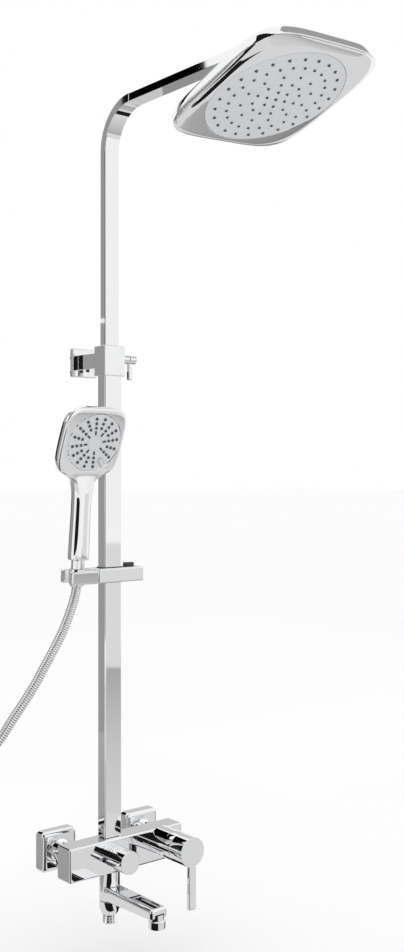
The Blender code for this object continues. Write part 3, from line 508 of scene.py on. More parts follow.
# %% Hose tube
def rings_along(line, sides=24):
    """Rings square to the line, carried along it without twist."""
    up = Vector((0, 1, 0))
    made = []
    for i, point in enumerate(line):
        ahead = (line[min(i + 1, len(line) - 1)] - line[max(i - 1, 0)]).normalized()
        across = ahead.cross(up).normalized()
        up = across.cross(ahead).normalized()
        radius = HOSE_RADIUS - GROOVE[i % len(GROOVE)]
        angles = [2 * math.pi * k / sides for k in range(sides)]
        made.append([point + radius * (math.cos(a) * across + math.sin(a) * up) for a in angles])
    return made


hose = skin("shower_hose_tube", rings_along(hose_line), UPRIGHT)
smooth(hose, 50, flats=False)
stands_for(hose, "shower_hose", "hose_coil", finish=hose_metal)

# %% [markdown]
# The tie is a loop of dark cord round the turns of the coil. A torus already has its shape, so it
# only needs a place.

# %% Tie and cord
TIE_ANGLE, TIE_Y, TIE_REACH = math.radians(150), -28.0, 72.5
tie_place = at(COIL_X + TIE_REACH * math.cos(TIE_ANGLE), TIE_Y, COIL_Z + TIE_REACH * math.sin(TIE_ANGLE))
bpy.ops.object.select_all(action="DESELECT")
bpy.ops.mesh.primitive_torus_add(major_segments=64, minor_segments=12, major_radius=0.0235,
                                 minor_radius=0.0022)
tie = bpy.context.active_object
tie.name = "coil_tie"
settle(tie, tie_place @ Matrix.Rotation(-TIE_ANGLE, 4, "Y"))
smooth(tie, 60)
goes_with(tie, "hose_coil", finish=dark_plastic, slot="dark_plastic")
[p * MM for p in hose_line[::4]]

# %% [markdown]
# ## Wall flanges, unions and nuts
# Each inlet is hidden by a square pressed cover with soft edges, so a block is hollowed from behind
# and bored for the union. The nut that draws the mixer on to its union has six flats with chamfered
# corners. A lathe shape with six sides is that hexagon, and a fine bevel rounds it.

# %% Flanges and nuts
SHEET, FLANGE_CORNER, UNION_BORE = 1.6, 7.0, 16.3
NUT_RADIUS, NUT_BORE, NUT_LENGTH, NUT_TURNED = 20.2, 13.3, 18.0, 12.0
INLET_X, MIXER_Z = 75.0, -3.0
for side, x in (("left", -INLET_X), ("right", INLET_X)):
    centre, size = cad_box(f"wall_flange_{side}")
    cover = block(f"flange_cover_{side}", (size.x, size.z, size.y), at(*centre) @ FORWARD, FLANGE_CORNER)
    cut(cover, block("tool", (size.x - 2 * SHEET, size.z - 2 * SHEET, size.y),
                     at(centre.x, centre.y + SHEET, centre.z) @ FORWARD, FLANGE_CORNER - SHEET))
    cut(cover, turned("tool", [(UNION_BORE, -40), (UNION_BORE, 40)], at(*centre) @ FORWARD, 64))
    soften(cover, 0.7)
    stands_for(cover, f"wall_flange_{side}")

    centre, size = cad_box(f"union_nut_{side}")
    axis = at(x, centre.y + size.y / 2, MIXER_Z) @ FORWARD
    nut = turned(f"hex_nut_{side}", [(NUT_RADIUS, 0), (NUT_RADIUS, NUT_LENGTH)],
                 axis @ Matrix.Rotation(math.radians(NUT_TURNED), 4, "Z"), 6)
    cut(nut, turned("tool", [(NUT_BORE, -5), (NUT_BORE, 30)], axis, 48))
    soften(nut, 0.9)
    stands_for(nut, f"union_nut_{side}")

# %% [markdown]
# ## Mixer body
# The body is a solid cast bar with square ends. Only its edges are rounded, by about 3 mm, which a
# Bevel modifier does. A subdivided cube would bulge a little all over, and bulged chrome no longer
# mirrors a straight line as a straight line.

# %% Mixer body
COLUMN_X, COLUMN_Y = -21.0, -72.0
BODY_SIZE = (202.0, 33.0, 49.0)
BODY_FRONT = COLUMN_Y - BODY_SIZE[1] / 2
body = block("mixer_bar", BODY_SIZE, at(0, COLUMN_Y, MIXER_Z))
soften(body, 3.0, 5)
stands_for(body, "mixer_body")

# %% [markdown]
# ## Lever handle
# The handle is a stack on one axis: a fixed sleeve, a domed carrier that turns for temperature, and
# a cap that lifts for flow. The cap's back edge is a hollow dome over the carrier, and a flat lever
# hangs from its front. All three are lathe shapes. Dome and hollow share one centre, the pivot, so
# the cap can lift over the carrier without touching it.

# %% Sleeve and carrier
HANDLE = at(61.0, BODY_FRONT, 3.0) @ FORWARD
PIVOT = HANDLE @ at(0, 0, 36.0)
HANDLE_RADIUS, DOME_START = 21.5, 10.0
sleeve = turned("handle_sleeve_tube", [(19.7, 0.3), (21.2, 0.3), (HANDLE_RADIUS, 0.6), (HANDLE_RADIUS, 32.0),
                                       (21.2, 32.3), (19.7, 32.3)], HANDLE, closed=True)
stands_for(sleeve, "handle_sleeve")
DOME = math.hypot(HANDLE_RADIUS, DOME_START)
edge_angle = math.degrees(math.atan2(DOME_START, HANDLE_RADIUS))
carrier = turned("carrier_dome", [(19.4, -3.4), (21.2, -3.4), (HANDLE_RADIUS, -3.1)]
                 + arc(DOME, edge_angle, 82, 14) + arc(DOME - 2.2, 82, 30, 10), PIVOT, closed=True)
cut(carrier, block("tool", (10.0, 20.0, 20.0), PIVOT @ at(0, 5.0, 22.0)))
smooth(carrier)
stands_for(carrier, "handle_carrier")

# %% Cap with its lever
CAP_FRONT, CAP_BACK = 39.0, 11.6
STEM_BORE = 4.3
hollow = DOME + 0.6
hollow_edge = math.degrees(math.asin(CAP_BACK / hollow))
cap = turned("handle_cap", arc(hollow, 84, hollow_edge, 14)
             + [(HANDLE_RADIUS, CAP_BACK + 0.1), (HANDLE_RADIUS, CAP_FRONT - 1.2),
                (21.15, CAP_FRONT - 0.35), (20.3, CAP_FRONT)], PIVOT)
cut(cap, turned("tool", [(STEM_BORE, 18.0), (STEM_BORE, 33.0)], PIVOT, 48))
smooth(cap)
LEVER_SIZE, LEVER_TIP = (12.3, 72.0, 6.8), -83.0
lever_z = CAP_FRONT - LEVER_SIZE[2] / 2 - 0.15    # just behind the cap's face, so no two faces coincide
lever = block("lever_blade", LEVER_SIZE, PIVOT @ at(0, LEVER_TIP + LEVER_SIZE[1] / 2, lever_z), 1.4, 4)
soften(lever, 1.3, 4)
merge(cap, lever)
smooth(cap, 34)
stands_for(cap, "lever_handle")

# %% [markdown]
# ## Diverter knob
# A round knob with a short wing sends the water up to the shower or down to the spout. It turns
# against a thin fixed collar, and a fine groove runs round it. The groove is three points of the
# profile, which is easier than cutting it afterwards.

# %% Diverter
DIVERTER = at(-21.0, BODY_FRONT, -5.0) @ FORWARD
KNOB_RADIUS, GROOVE_RADIUS = 16.5, 16.0
collar = turned("diverter_ring", [(10.6, 0.3), (16.2, 0.3), (KNOB_RADIUS, 0.6), (KNOB_RADIUS, 5.4), (16.1, 5.8),
                                  (10.6, 5.8)], DIVERTER, closed=True)
stands_for(collar, "diverter_collar")
knob = turned("diverter_grip", [(14.0, 6.1), (16.2, 6.1), (KNOB_RADIUS, 6.4), (KNOB_RADIUS, 14.8),
                                (GROOVE_RADIUS, 15.2), (GROOVE_RADIUS, 15.5), (KNOB_RADIUS, 15.9),
                                (KNOB_RADIUS, 34.1), (16.2, 35.0), (15.3, 35.5)], DIVERTER)
wing = block("knob_wing", (10.0, 4.6, 26.4), DIVERTER @ at(-18.5, 0, 19.3), 1.8, 4)
soften(wing, 1.2, 4)
knob = join([knob, wing], "diverter_grip")
smooth(knob, 34)
stands_for(knob, "diverter_knob")

# %% [markdown]
# ## Spout, aerator and hose outlet
# The spout is a flat bar that tapers in height and swings on the outlet stem. A block gets the taper
# when its front corners are moved in edit mode, a wide bevel rounds it, and a turned hub is merged
# with its back. The aerator screws up into it from below, with a wire mesh across its mouth. The
# threaded outlet for the hose hangs under the hub.

# %% Spout
SPOUT_TOP, SPOUT_SIZE = -49.0, (28.0, 119.0, 21.0)
TAPER_UNDER, TAPER_OVER, TAPER_AT_Y, SPOUT_MIDDLE_Z = 5.0, -0.8, -150.0, -55.0
HUB_RADIUS, HUB_BORE, AERATOR_BORE = 15.0, 12.6, 10.0
SPOUT = at(COLUMN_X, COLUMN_Y, SPOUT_TOP)
spout = block("spout_bar", SPOUT_SIZE, SPOUT @ at(0, -SPOUT_SIZE[1] / 2, -SPOUT_SIZE[2] / 2))
edit(spout)
for under, shift in ((True, TAPER_UNDER), (False, TAPER_OVER)):
    choose(spout, "VERT", lambda v: v.co.y < TAPER_AT_Y * MM and (v.co.z < SPOUT_MIDDLE_Z * MM) == under)
    bpy.ops.transform.translate(value=(0, 0, shift * MM))
done()
soften(spout, 4.6, 8, 60)
merge(spout, turned("spout_hub", [(HUB_RADIUS - 0.4, 0.0), (HUB_RADIUS, -0.4), (HUB_RADIUS, -20.6),
                                  (HUB_RADIUS - 0.4, -21.0)], SPOUT))
cut(spout, turned("tool", [(HUB_BORE, 20.0), (HUB_BORE, -40.0)], SPOUT, 64))
AERATOR = at(COLUMN_X, -185.0, -59.0)
cut(spout, turned("tool", [(AERATOR_BORE, 1.0), (AERATOR_BORE, -25.0)], AERATOR, 64))
smooth(spout, 34)
stands_for(spout, "bath_spout")

# %% Aerator
aerator = turned("aerator_ring", [(9.6, 0.0), (9.6, 7.5), (11.2, 8.4), (11.5, 8.8), (11.5, 18.6), (11.0, 19.2),
                                  (8.9, 19.2), (8.6, 18.9), (8.6, 16.0), (7.0, 16.0)], AERATOR @ DOWNWARD)
stands_for(aerator, "aerator")
bpy.ops.object.select_all(action="DESELECT")
bpy.ops.mesh.primitive_grid_add(x_subdivisions=15, y_subdivisions=15, size=0.0118)
strainer = bpy.context.active_object
strainer.name = "aerator_mesh"
wire = strainer.modifiers.new("wire", "WIREFRAME")
wire.thickness = 0.0003
apply_all(strainer)
settle(strainer, AERATOR @ at(0, 0, -16.3))
goes_with(strainer, "aerator", finish=steel)

# %% Stem and threaded outlet
STEM = at(COLUMN_X, COLUMN_Y, -27.8) @ DOWNWARD
BORE, THREAD_OUT, THREAD_IN, THREAD_PITCH = 6.0, 10.45, 9.55, 2.2
stem = turned("outlet_collar", [(BORE, 0.0), (14.7, 0.0), (HUB_RADIUS, 0.3), (HUB_RADIUS, 20.6), (14.7, 20.9),
                                (11.0, 20.9), (11.0, 42.4), (BORE, 42.4)], STEM, closed=True)
stands_for(stem, "outlet_stem")
centre, size = cad_box("hose_outlet")
drop = size.z
cone = drop - 23.0
thread = [(BORE, 0.0), (14.7, 0.0), (HUB_RADIUS, 0.3), (HUB_RADIUS, cone), (12.0, cone + 8.0),
          (THREAD_OUT, cone + 9.5)]
for ridge in range(5):
    height = cone + 11.0 + ridge * THREAD_PITCH
    thread += [(THREAD_IN, height), (THREAD_OUT, height + THREAD_PITCH / 2)]
thread += [(THREAD_IN, drop), (BORE, drop)]
outlet_place = at(COLUMN_X, COLUMN_Y, centre.z + drop / 2) @ DOWNWARD
outlet = turned("hose_outlet_thread", thread, outlet_place, closed=True)
stands_for(outlet, "hose_outlet")

# %% [markdown]
# ## The telescopic riser
# Both tubes are flat rectangles with small round corners. The outer one stands on the mixer. The
# inner one slides in it, bends forward at the top and carries the head. Sweeping an outline along a
# curve would work too. Here a short block is stretched to the foot of the bend, its top face is spun
# a quarter turn about the bend's centre, and the new end face is extruded to the arm's end.

# %% Lower tube
TUBE_CORNER = 2.2
centre, size = cad_box("lower_column")
lower = block("lower_tube", size, at(*centre), TUBE_CORNER)
smooth(lower)
stands_for(lower, "lower_column")

# %% Upper tube with its bend and arm
TUBE_WIDTH, TUBE_DEPTH, START = 26.6, 14.0, 10.0
UPPER_BOTTOM, ARM_Z, BEND = 420.0, 1081.0, 63.0
ARM_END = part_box("upper_column")[0].y / MM
bend_y, bend_z = COLUMN_Y - BEND, ARM_Z - BEND
upper = block("upper_tube", (TUBE_WIDTH, TUBE_DEPTH, START), at(COLUMN_X, COLUMN_Y, UPPER_BOTTOM + START / 2),
              TUBE_CORNER)
edit(upper)
choose(upper, "FACE", lambda f: f.normal.z > 0.9)
bpy.ops.transform.translate(value=(0, 0, (bend_z - UPPER_BOTTOM - START) * MM))
bpy.ops.mesh.spin(steps=32, angle=math.radians(-90), center=(COLUMN_X * MM, bend_y * MM, bend_z * MM),
                  axis=(1, 0, 0))
done()
print("bend reaches y =", round(min(v.co.y for v in upper.data.vertices), 4))
edit(upper)
choose(upper, "FACE", lambda f: f.center.y < (bend_y + 0.1) * MM)
bpy.ops.mesh.extrude_region_move(TRANSFORM_OT_translate={"value": (0, ARM_END * MM - bend_y * MM, 0)})
bpy.ops.mesh.select_all(action="SELECT")
bpy.ops.mesh.remove_doubles(threshold=TINY)
bpy.ops.mesh.normals_make_consistent(inside=False)
done()
smooth(upper, 25)
stands_for(upper, "upper_column")

# %% Cap of the arm
PLUG = 2.0
cap_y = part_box("arm_end_cap")[0].y / MM + PLUG / 2
arm_cap = block("arm_cap", (TUBE_WIDTH, TUBE_DEPTH, PLUG), at(COLUMN_X, cap_y, ARM_Z) @ FORWARD, TUBE_CORNER)
soften(arm_cap, 0.5)
stands_for(arm_cap, "arm_end_cap")

# %% [markdown]
# ## Height lock and wall bracket
# A square clamp block sits where the tubes meet. Its T-shaped lever turns on a round boss to free
# the inner tube. A square neck ties the block to a plate on the wall. These are blocks and short
# turned pieces again, and what sells them is a small radius on every edge: the highlight along it
# is what the eye reads as cast and plated metal.

# %% Lock block, boss and lever
LOCK = at(COLUMN_X, COLUMN_Y, 714.0)
lock = block("clamp_block", (36.0, 27.0, 44.0), LOCK)
soften(lock, 1.2, 4)
stands_for(lock, "lock_block")
ACROSS = at(-3.0, COLUMN_Y, 719.0) @ SIDEWAYS
BOSS_RADIUS = 7.5
boss = turned("clamp_boss", [(3.6, 0.3), (7.2, 0.3), (BOSS_RADIUS, 0.6), (BOSS_RADIUS, 14.0), (7.2, 14.3),
                             (3.6, 14.3)], ACROSS, 64, closed=True)
stands_for(boss, "lock_boss")
t_lever = turned("clamp_knob", [(7.2, 14.6), (BOSS_RADIUS, 14.9), (BOSS_RADIUS, 25.8), (6.7, 26.6)], ACROSS, 64)
tail = block("clamp_tail", (31.0, 6.6, 6.6), ACROSS @ at(15.5, 0, 18.2), 1.4, 4)
soften(tail, 1.2, 4)
t_lever = join([t_lever, tail], "clamp_lever")
smooth(t_lever, 34)
stands_for(t_lever, "lock_lever")

# %% Wall plate and neck
BRACKET_Z, PLATE_SIDE, PLATE_DEPTH, PLATE_WALL = 716.0, 43.0, 7.0, 2.4
NECK_SIDE, SCREW_BORE, SCREW_FROM_WALL_END = 23.0, 2.8, 8.0
inside = PLATE_SIDE - 2 * PLATE_WALL
plate = block("wall_plate", (PLATE_SIDE, PLATE_SIDE, PLATE_DEPTH),
              at(COLUMN_X, -PLATE_DEPTH / 2, BRACKET_Z) @ FORWARD, 1.6)
cut(plate, block("tool", (inside, inside, PLATE_DEPTH),
                 at(COLUMN_X, 2.0 - PLATE_DEPTH / 2, BRACKET_Z) @ FORWARD))
soften(plate, 0.9, 4)
stands_for(plate, "bracket_cover")
centre, size = cad_box("bracket_neck")
arm = block("bracket_arm", (NECK_SIDE, NECK_SIDE, size.y), at(COLUMN_X, centre.y, BRACKET_Z) @ FORWARD)
soften(arm, 1.2, 4)
screw_y = centre.y + size.y / 2 - SCREW_FROM_WALL_END
cut(arm, turned("tool", [(SCREW_BORE, -20.0), (SCREW_BORE, 8.0)],
                at(COLUMN_X, screw_y, BRACKET_Z - NECK_SIDE / 2), 32))
smooth(arm, 34)
stands_for(arm, "bracket_neck")

# %% [markdown]
# ## Ball joint and rain head
# The head hangs from a ball, so its pieces are modelled level and then tilted with it. A round union
# nut closes the ball in its socket. The housing is one pressed sheet: a neck that flares into a
# shallow square cushion with full corners. Its outline changes from a circle to a square with round
# corners, which no scaling of one ring gives, so its rings are written as a formula and joined. The
# formula is a superellipse: power 2 is a circle, and a higher power fills out the corners.

# %% Head frame and ball joint
BALL_X, BALL_Y, BALL_Z = -21.0, -402.0, 1058.0
TIP_FORWARD, TIP_ASIDE = -19.1, -4.1
BALL = at(BALL_X, BALL_Y, BALL_Z)
HEAD = (BALL @ Matrix.Rotation(math.radians(TIP_FORWARD), 4, "X")
        @ Matrix.Rotation(math.radians(TIP_ASIDE), 4, "Y"))
stem_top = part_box("ball_stem")[1].z / MM - BALL_Z
ball = turned("ball_and_stem", arc(9.0, -88, 58, 24) + [(4.5, 9.6), (4.5, 13.0), (6.5, 14.5), (6.5, stem_top)],
              BALL, 64)
stands_for(ball, "ball_stem")
CAVITY, CAVITY_EDGE, NUT_SIDE = 11.6, 24, 15.0
nut_top = CAVITY * math.sin(math.radians(CAVITY_EDGE)) + 1.5
nut_profile = arc(CAVITY, CAVITY_EDGE, -60, 12) + [
    (5.8, -13.0), (14.6, -13.0), (NUT_SIDE, -12.6), (NUT_SIDE, 3.2), (14.6, 4.2), (13.4, nut_top),
    (11.0, nut_top)]
ball_nut = turned("ball_cap_nut", nut_profile, HEAD, closed=True)
stands_for(ball_nut, "ball_union_nut")


# %% Housing
def squircle_points(power, sides):
    """Points of a superellipse of half width 1."""
    made = []
    for step in range(sides):
        a = 2 * math.pi * (step + 0.5) / sides
        c, s = math.cos(a), math.sin(a)
        reach = 1 / (abs(c) ** power + abs(s) ** power) ** (1 / power)
        made.append((reach * c, reach * s))
    return made


def squircle(half, power, height):
    """A level ring of the head, between a circle and a square."""
    return [(half * x, half * y, height) for x, y in squircle_points(power, 128)]


SPRAY = HEAD @ at(0, 0, -50.0)
HEAD_HALF, RIM, BAND_TOP, HEAD_TOP = 106.0, 7.0, 15.5, 24.0
SQUARE, ROUND, NECK, NECK_TOP = 4.6, 2.0, 15.0, 36.7
FLARE = 0.34                            # where the cushion ends, as a share of the half width
rings = [squircle(HEAD_HALF - 2.2, SQUARE + 0.3, 5.2), squircle(HEAD_HALF - 1.0, SQUARE + 0.3, RIM - 1.5),
         squircle(HEAD_HALF - 0.25, SQUARE + 0.1, RIM - 0.9), squircle(HEAD_HALF, SQUARE, RIM),
         squircle(HEAD_HALF, SQUARE, BAND_TOP - 1.2), squircle(HEAD_HALF - 0.3, SQUARE, BAND_TOP - 0.4),
         squircle(HEAD_HALF - 1.0, SQUARE, BAND_TOP)]
for step in range(1, 25):
    share = 1 - step / 24 * (1 - FLARE)
    height = BAND_TOP + (HEAD_TOP - BAND_TOP) * (1 - max(0.0, (share - FLARE) / (1 - FLARE)) ** 1.5)
    rings.append(squircle(HEAD_HALF * share - 1.0, ROUND + 2.6 * share ** 0.8, height))
for step in range(1, 9):
    t = step / 8
    flare_half = 35.0 - 20.0 * math.sin(t * math.pi / 2)
    rings.append(squircle(flare_half, ROUND + 0.6 * (1 - t), HEAD_TOP + 6.0 * t * t))
rings += [squircle(NECK, ROUND, NECK_TOP - 0.3), squircle(NECK - 0.3, ROUND, NECK_TOP),
          squircle(8.0, ROUND, NECK_TOP)]
shell = skin("head_housing", rings, SPRAY)
smooth(shell, 40, flats=False)
stands_for(shell, "head_shell")

# %% [markdown]
# The underside is a thin dish between the round spray plate and the square rim. It is one band of
# rings, open at both edges, and a Solidify modifier gives it the thickness of sheet. The spray plate
# is turned, with a very shallow crown, so that its reflections move a little from edge to middle.

# %% Underside and spray plate
DISH_IN, DISH_OUT, DISH_RISE = 90.7, HEAD_HALF - 1.1, 4.4
under_rings = [squircle(DISH_IN - 0.3, ROUND, 3.2), squircle(DISH_IN - 0.3, ROUND, 0.4),
               squircle(DISH_IN, ROUND, 0.1)]
for step in range(1, 17):
    t = step / 16
    under_rings.append(squircle(DISH_IN + (DISH_OUT - DISH_IN) * t, ROUND + 2.9 * t ** 0.6,
                                0.1 + DISH_RISE * t ** 3.0))
under = skin("head_rim", under_rings, SPRAY, cap_start=False, cap_end=False)
wall = under.modifiers.new("wall", "SOLIDIFY")
wall.thickness = 0.0006
wall.offset = -1
apply_all(under)
smooth(under, 40, flats=False)
stands_for(under, "head_underside")
disc = turned("spray_disc", [(90.0, 4.0), (90.0, 0.6), (89.6, 0.0), (89.0, -0.25), (75.0, -0.75), (54.0, -1.25),
                             (30.0, -1.5), (10.0, -1.62), (2.0, -1.62)], SPRAY, 128)
stands_for(disc, "spray_plate")

# %% [markdown]
# ### Nozzles
# Soft rubber nipples stand through the plate in five rings round one at the centre. One nipple is
# turned with few sides, copied to every place, and the copies are joined. An Array modifier could
# repeat it along a circle too, but plain copies can each follow the crown of the plate.


# %% Nozzles of the rain head
def scatter(name, template, places):
    """Copies of a template at each place, joined into one piece."""
    copies = []
    for place in places:
        twin = template.copy()
        twin.data = template.data.copy()
        bpy.context.scene.collection.objects.link(twin)
        settle(twin, place)
        copies.append(twin)
    bpy.data.objects.remove(template)
    return join(copies, name)


NOZZLE_RINGS = ((78.3, 24, 0.0), (63.0, 24, 0.5), (45.9, 12, 0.0), (30.6, 12, 0.0), (15.1, 6, 0.0))
PLATE_RADIUS = 90.0
nipple = turned("nipple", [(2.3, 0.6), (2.3, -0.2), (1.9, -0.4), (1.4, -1.7), (1.1, -2.0), (0.6, -2.0),
                           (0.5, -1.4)], UPRIGHT, 14)
places = [SPRAY @ at(0, 0, -1.5)]
for radius, count, offset in NOZZLE_RINGS:
    drop = -0.3 - 1.2 * (1 - radius / PLATE_RADIUS)
    for i in range(count):
        a = 2 * math.pi * (i + offset) / count
        places.append(SPRAY @ at(radius * math.cos(a), radius * math.sin(a), drop))
nozzles = scatter("rain_nozzles", nipple, places)
smooth(nozzles, 40)
goes_with(nozzles, "spray_plate", slot="rubber")
print("rain nozzles:", len(places))

# %% [markdown]
# ## Slider and holder
# The slider is a block with a window for the tube, lined with dark plastic. The holder beside it
# leans back a little and is a ring that is open to the left, so that the hose can pass. Each is a
# rounded block first and is cut second, because a bevel on the cut edges would open the close fit.

# %% Slider
SLIDER_Z = 403.0
SLIDER = at(COLUMN_X, COLUMN_Y, SLIDER_Z)
slider = block("slider_block", (80.0, 32.0, 21.0), at(-10.0, COLUMN_Y, SLIDER_Z))
soften(slider, 2.4, 5)
cut(slider, block("tool", (34.0, 23.4, 60.0), SLIDER, TUBE_CORNER))
cut(slider, block("tool", (15.6, 9.6, 20.0), at(19.0, -63.5, SLIDER_Z + 11.0), 1.2))
smooth(slider, 34)
stands_for(slider, "slider_body")
centre, size = cad_box("slider_liner")
liner = block("slider_sleeve", (33.4, 22.8, 23.4), at(COLUMN_X, COLUMN_Y, centre.z), 2.4)
cut(liner, block("tool", (30.2, 19.6, 60.0), SLIDER, TUBE_CORNER))
smooth(liner, 34)
stands_for(liner, "slider_liner")
centre, size = cad_box("release_button")
button = block("slider_button", size, at(*centre), 1.4)
soften(button, 0.8, 4)
stands_for(button, "release_button")

# %% Holder
LEAN = at(-78.0, COLUMN_Y, SLIDER_Z) @ Matrix.Rotation(math.radians(5.5), 4, "X")
holder = block("hand_shower_holder", (45.7, 32.0, 19.0), LEAN @ at(4.85, 0, 0))
soften(holder, 2.4, 5)
cut(holder, turned("tool", [(10.44, -14.5), (11.96, 14.5)], LEAN, 96))
cut(holder, block("tool", (60.0, 15.6, 60.0), LEAN @ at(-30.0, 0, 0)))
smooth(holder, 34)
stands_for(holder, "hand_holder")

# %% [markdown]
# ## Hand shower
# The hand shower is one cast shell. The grip is a tall rounded bar that widens into a square head
# with soft corners, and the head tips forward. Its cross-sections turn and change shape as they
# rise, so they are written out ring by ring and a Subdivision Surface smooths them. The round face
# is then cut out of the front and its dial is turned to fit the hole.

# %% Cone nut and neck
cone_nut = turned("hose_cone_nut", [(7.3, -13.5), (9.4, -13.5), (9.8, -13.1), (10.4, -9.5), (11.4, 9.5),
                                    (11.1, 11.2), (10.8, 11.5), (7.3, 11.5)], LEAN, closed=True)
stands_for(cone_nut, "cone_nut")
neck = turned("hand_shower_neck", [(9.4, 11.8), (9.8, 12.2), (9.8, 27.5)], LEAN)
goes_with(neck, "hand_shell")

# %% Cross-sections
FACE_LEAN = 18.1
FACE_AT = Vector((0.4, -25.2, 193.4))
FACE_SHIFT = Vector((-1.8, 0, 0))
FACE_RADIUS, FACE_GAP = 42.8, 0.3
FACE_HALF_WIDTH, FACE_HALF_HEIGHT, HEAD_THICK = 51.0, 52.8, 25.0
face_turn = math.radians(FACE_LEAN)
UP, BACK = Vector((0, 0, 1)), Vector((0, 1, 0))
face_up = Vector((0, -math.sin(face_turn), math.cos(face_turn)))
face_back = Vector((0, math.cos(face_turn), math.sin(face_turn)))


def section(centre, back, width, front_depth, back_depth, power):
    """A superellipse across the shower, with one depth in front of its centre and one behind."""
    made = []
    for x, y in squircle_points(power, 48):
        depth = front_depth if y < 0 else back_depth
        made.append(centre + Vector((x * width, 0, 0)) + back * (y * depth))
    return made


# %% Shell
GRIP_HALF_WIDTH, GRIP_HALF_DEPTH, GRIP_POWER, GRIP_LENGTH, SLIM = 15.5, 14.0, 2.3, 88.0, 0.93
GRIP_FOOT = Vector((0, 0, 24.4))
rings = []
for height, swell in ((0.0, 0.9), (0.6, 0.97), (1.8, 1.0), (15.0, 0.99), (30.0, 0.97), (46.0, 0.95),
                      (62.0, SLIM), (76.0, SLIM), (GRIP_LENGTH, SLIM)):
    depth = GRIP_HALF_DEPTH * swell
    rings.append(section(GRIP_FOOT + UP * height, BACK, GRIP_HALF_WIDTH * swell, depth, depth, GRIP_POWER))
grip_top = GRIP_FOOT.z + GRIP_LENGTH
head_low = FACE_AT - face_up * FACE_HALF_HEIGHT
for share in (0.3, 0.55, 0.8):
    blend = share * share
    up = UP.lerp(face_up, share).normalized()
    centre = Vector((0, (head_low.y + 10.0) * blend, grip_top + (head_low.z + 6.0 - grip_top) * share))
    depth = GRIP_HALF_DEPTH * SLIM
    rings.append(section(centre, Vector((0, up.z, -up.y)), GRIP_HALF_WIDTH * SLIM + 9.0 * blend,
                         depth - 2.0 * blend, depth, GRIP_POWER + blend))
CROWN, LIP, SEAM_BACK = 6.0, 0.4, 4.6   # the front's bulge, its flat edge, and the widest line's depth
for share in (-0.93, -0.86, -0.74, -0.55, -0.3, 0.0, 0.3, 0.55, 0.74, 0.86, 0.94, 0.98):
    width = FACE_HALF_WIDTH * (1 - abs(share) ** 5.0) ** (1 / 3.4)
    depth = HEAD_THICK * (1 - max(0.0, share) ** 4) ** 0.5
    crown = CROWN * (1 - abs(share) ** 4) ** 0.5
    centre = FACE_AT + face_up * (share * FACE_HALF_HEIGHT) + FACE_SHIFT + face_back * SEAM_BACK
    rings.append(section(centre, face_back, max(width, 20.0), crown + LIP, max(depth - 6.6, 5.0), 3.4))
hand = skin("hand_shower_shell", rings, LEAN)
rounding = hand.modifiers.new("rounding", "SUBSURF")
rounding.levels = rounding.render_levels = 1
apply_all(hand)
FACE = LEAN @ at(*FACE_AT) @ Matrix.Rotation(math.radians(90 + FACE_LEAN), 4, "X")
cut(hand, turned("tool", [(FACE_RADIUS + FACE_GAP, -11.0), (FACE_RADIUS + FACE_GAP, 20.0)], FACE, 128))
smooth(hand, 50, flats=False)
stands_for(hand, "hand_shell")

# %% Spray face with its selector tab
dial = turned("hand_spray_disc", [
    (FACE_RADIUS, -5.4), (FACE_RADIUS, -0.6), (FACE_RADIUS - 0.3, 0.0), (FACE_RADIUS - 0.8, 0.25), (34.0, 0.65),
    (27.0, 0.9), (12.0, 1.05), (11.5, 0.6), (10.8, 0.6), (10.4, 1.1), (2.0, 1.2)], FACE, 128)
TAB_ANGLE = math.radians(-58)
tab_place = FACE @ Matrix.Rotation(TAB_ANGLE, 4, "Z") @ at(33.5, 0, 1.9)
tab = block("selector_tab", (14.0, 6.4, 3.8), tab_place, 2.8, 5)
soften(tab, 1.2, 4)
dial = join([dial, tab], "hand_spray_disc")
smooth(dial, 40)
stands_for(dial, "spray_selector")

# %% Nozzles of the hand shower
SPOKES, SPOKE_RADII, SLOTS, SLOT_RADIUS = 16, (22.6, 29.4, 36.2), 8, 15.4
nipple = turned("nipple", [(2.3, -0.3), (2.3, 0.3), (2.0, 0.5), (1.7, 1.7), (1.4, 2.0), (0.6, 2.0), (0.5, 1.3)],
                UPRIGHT, 14)
places = []
for spoke in range(1, SPOKES):          # the first spoke is left free for the tab
    a = 2 * math.pi * spoke / SPOKES + TAB_ANGLE
    for radius in SPOKE_RADII:
        places.append(FACE @ at(radius * math.cos(a), radius * math.sin(a), 0.9 - radius * 0.012))
outer = scatter("hand_nozzles", nipple, places)
long_nozzle = block("slot_nozzle", (6.0, 3.0, 1.8), UPRIGHT, 1.3, 4)
soften(long_nozzle, 0.35, 2)
slot_places = []
for i in range(SLOTS):
    a = 2 * math.pi * (i + 0.5) / SLOTS + TAB_ANGLE
    slot_places.append(FACE @ at(SLOT_RADIUS * math.cos(a), SLOT_RADIUS * math.sin(a), 1.2)
                       @ Matrix.Rotation(a, 4, "Z"))
inner = scatter("hand_slots", long_nozzle, slot_places)
print("hand shower nozzles:", len(places), "round and", len(slot_places), "long")
hand_nozzles = join([outer, inner], "hand_nozzles")
smooth(hand_nozzles, 40)
goes_with(hand_nozzles, "spray_selector", slot="rubber")

# %% [markdown]
# ## Studio
# A pale floor lies under the column, and everything else is white. Chrome shows only what stands
# round it, so in a white room it would vanish. A photographer stands black and grey cards out of
# view, and each card draws the stripe that shows a tube's edge. The boards are part of the stage.
# The camera doesn't see them directly, and they throw no shadow.


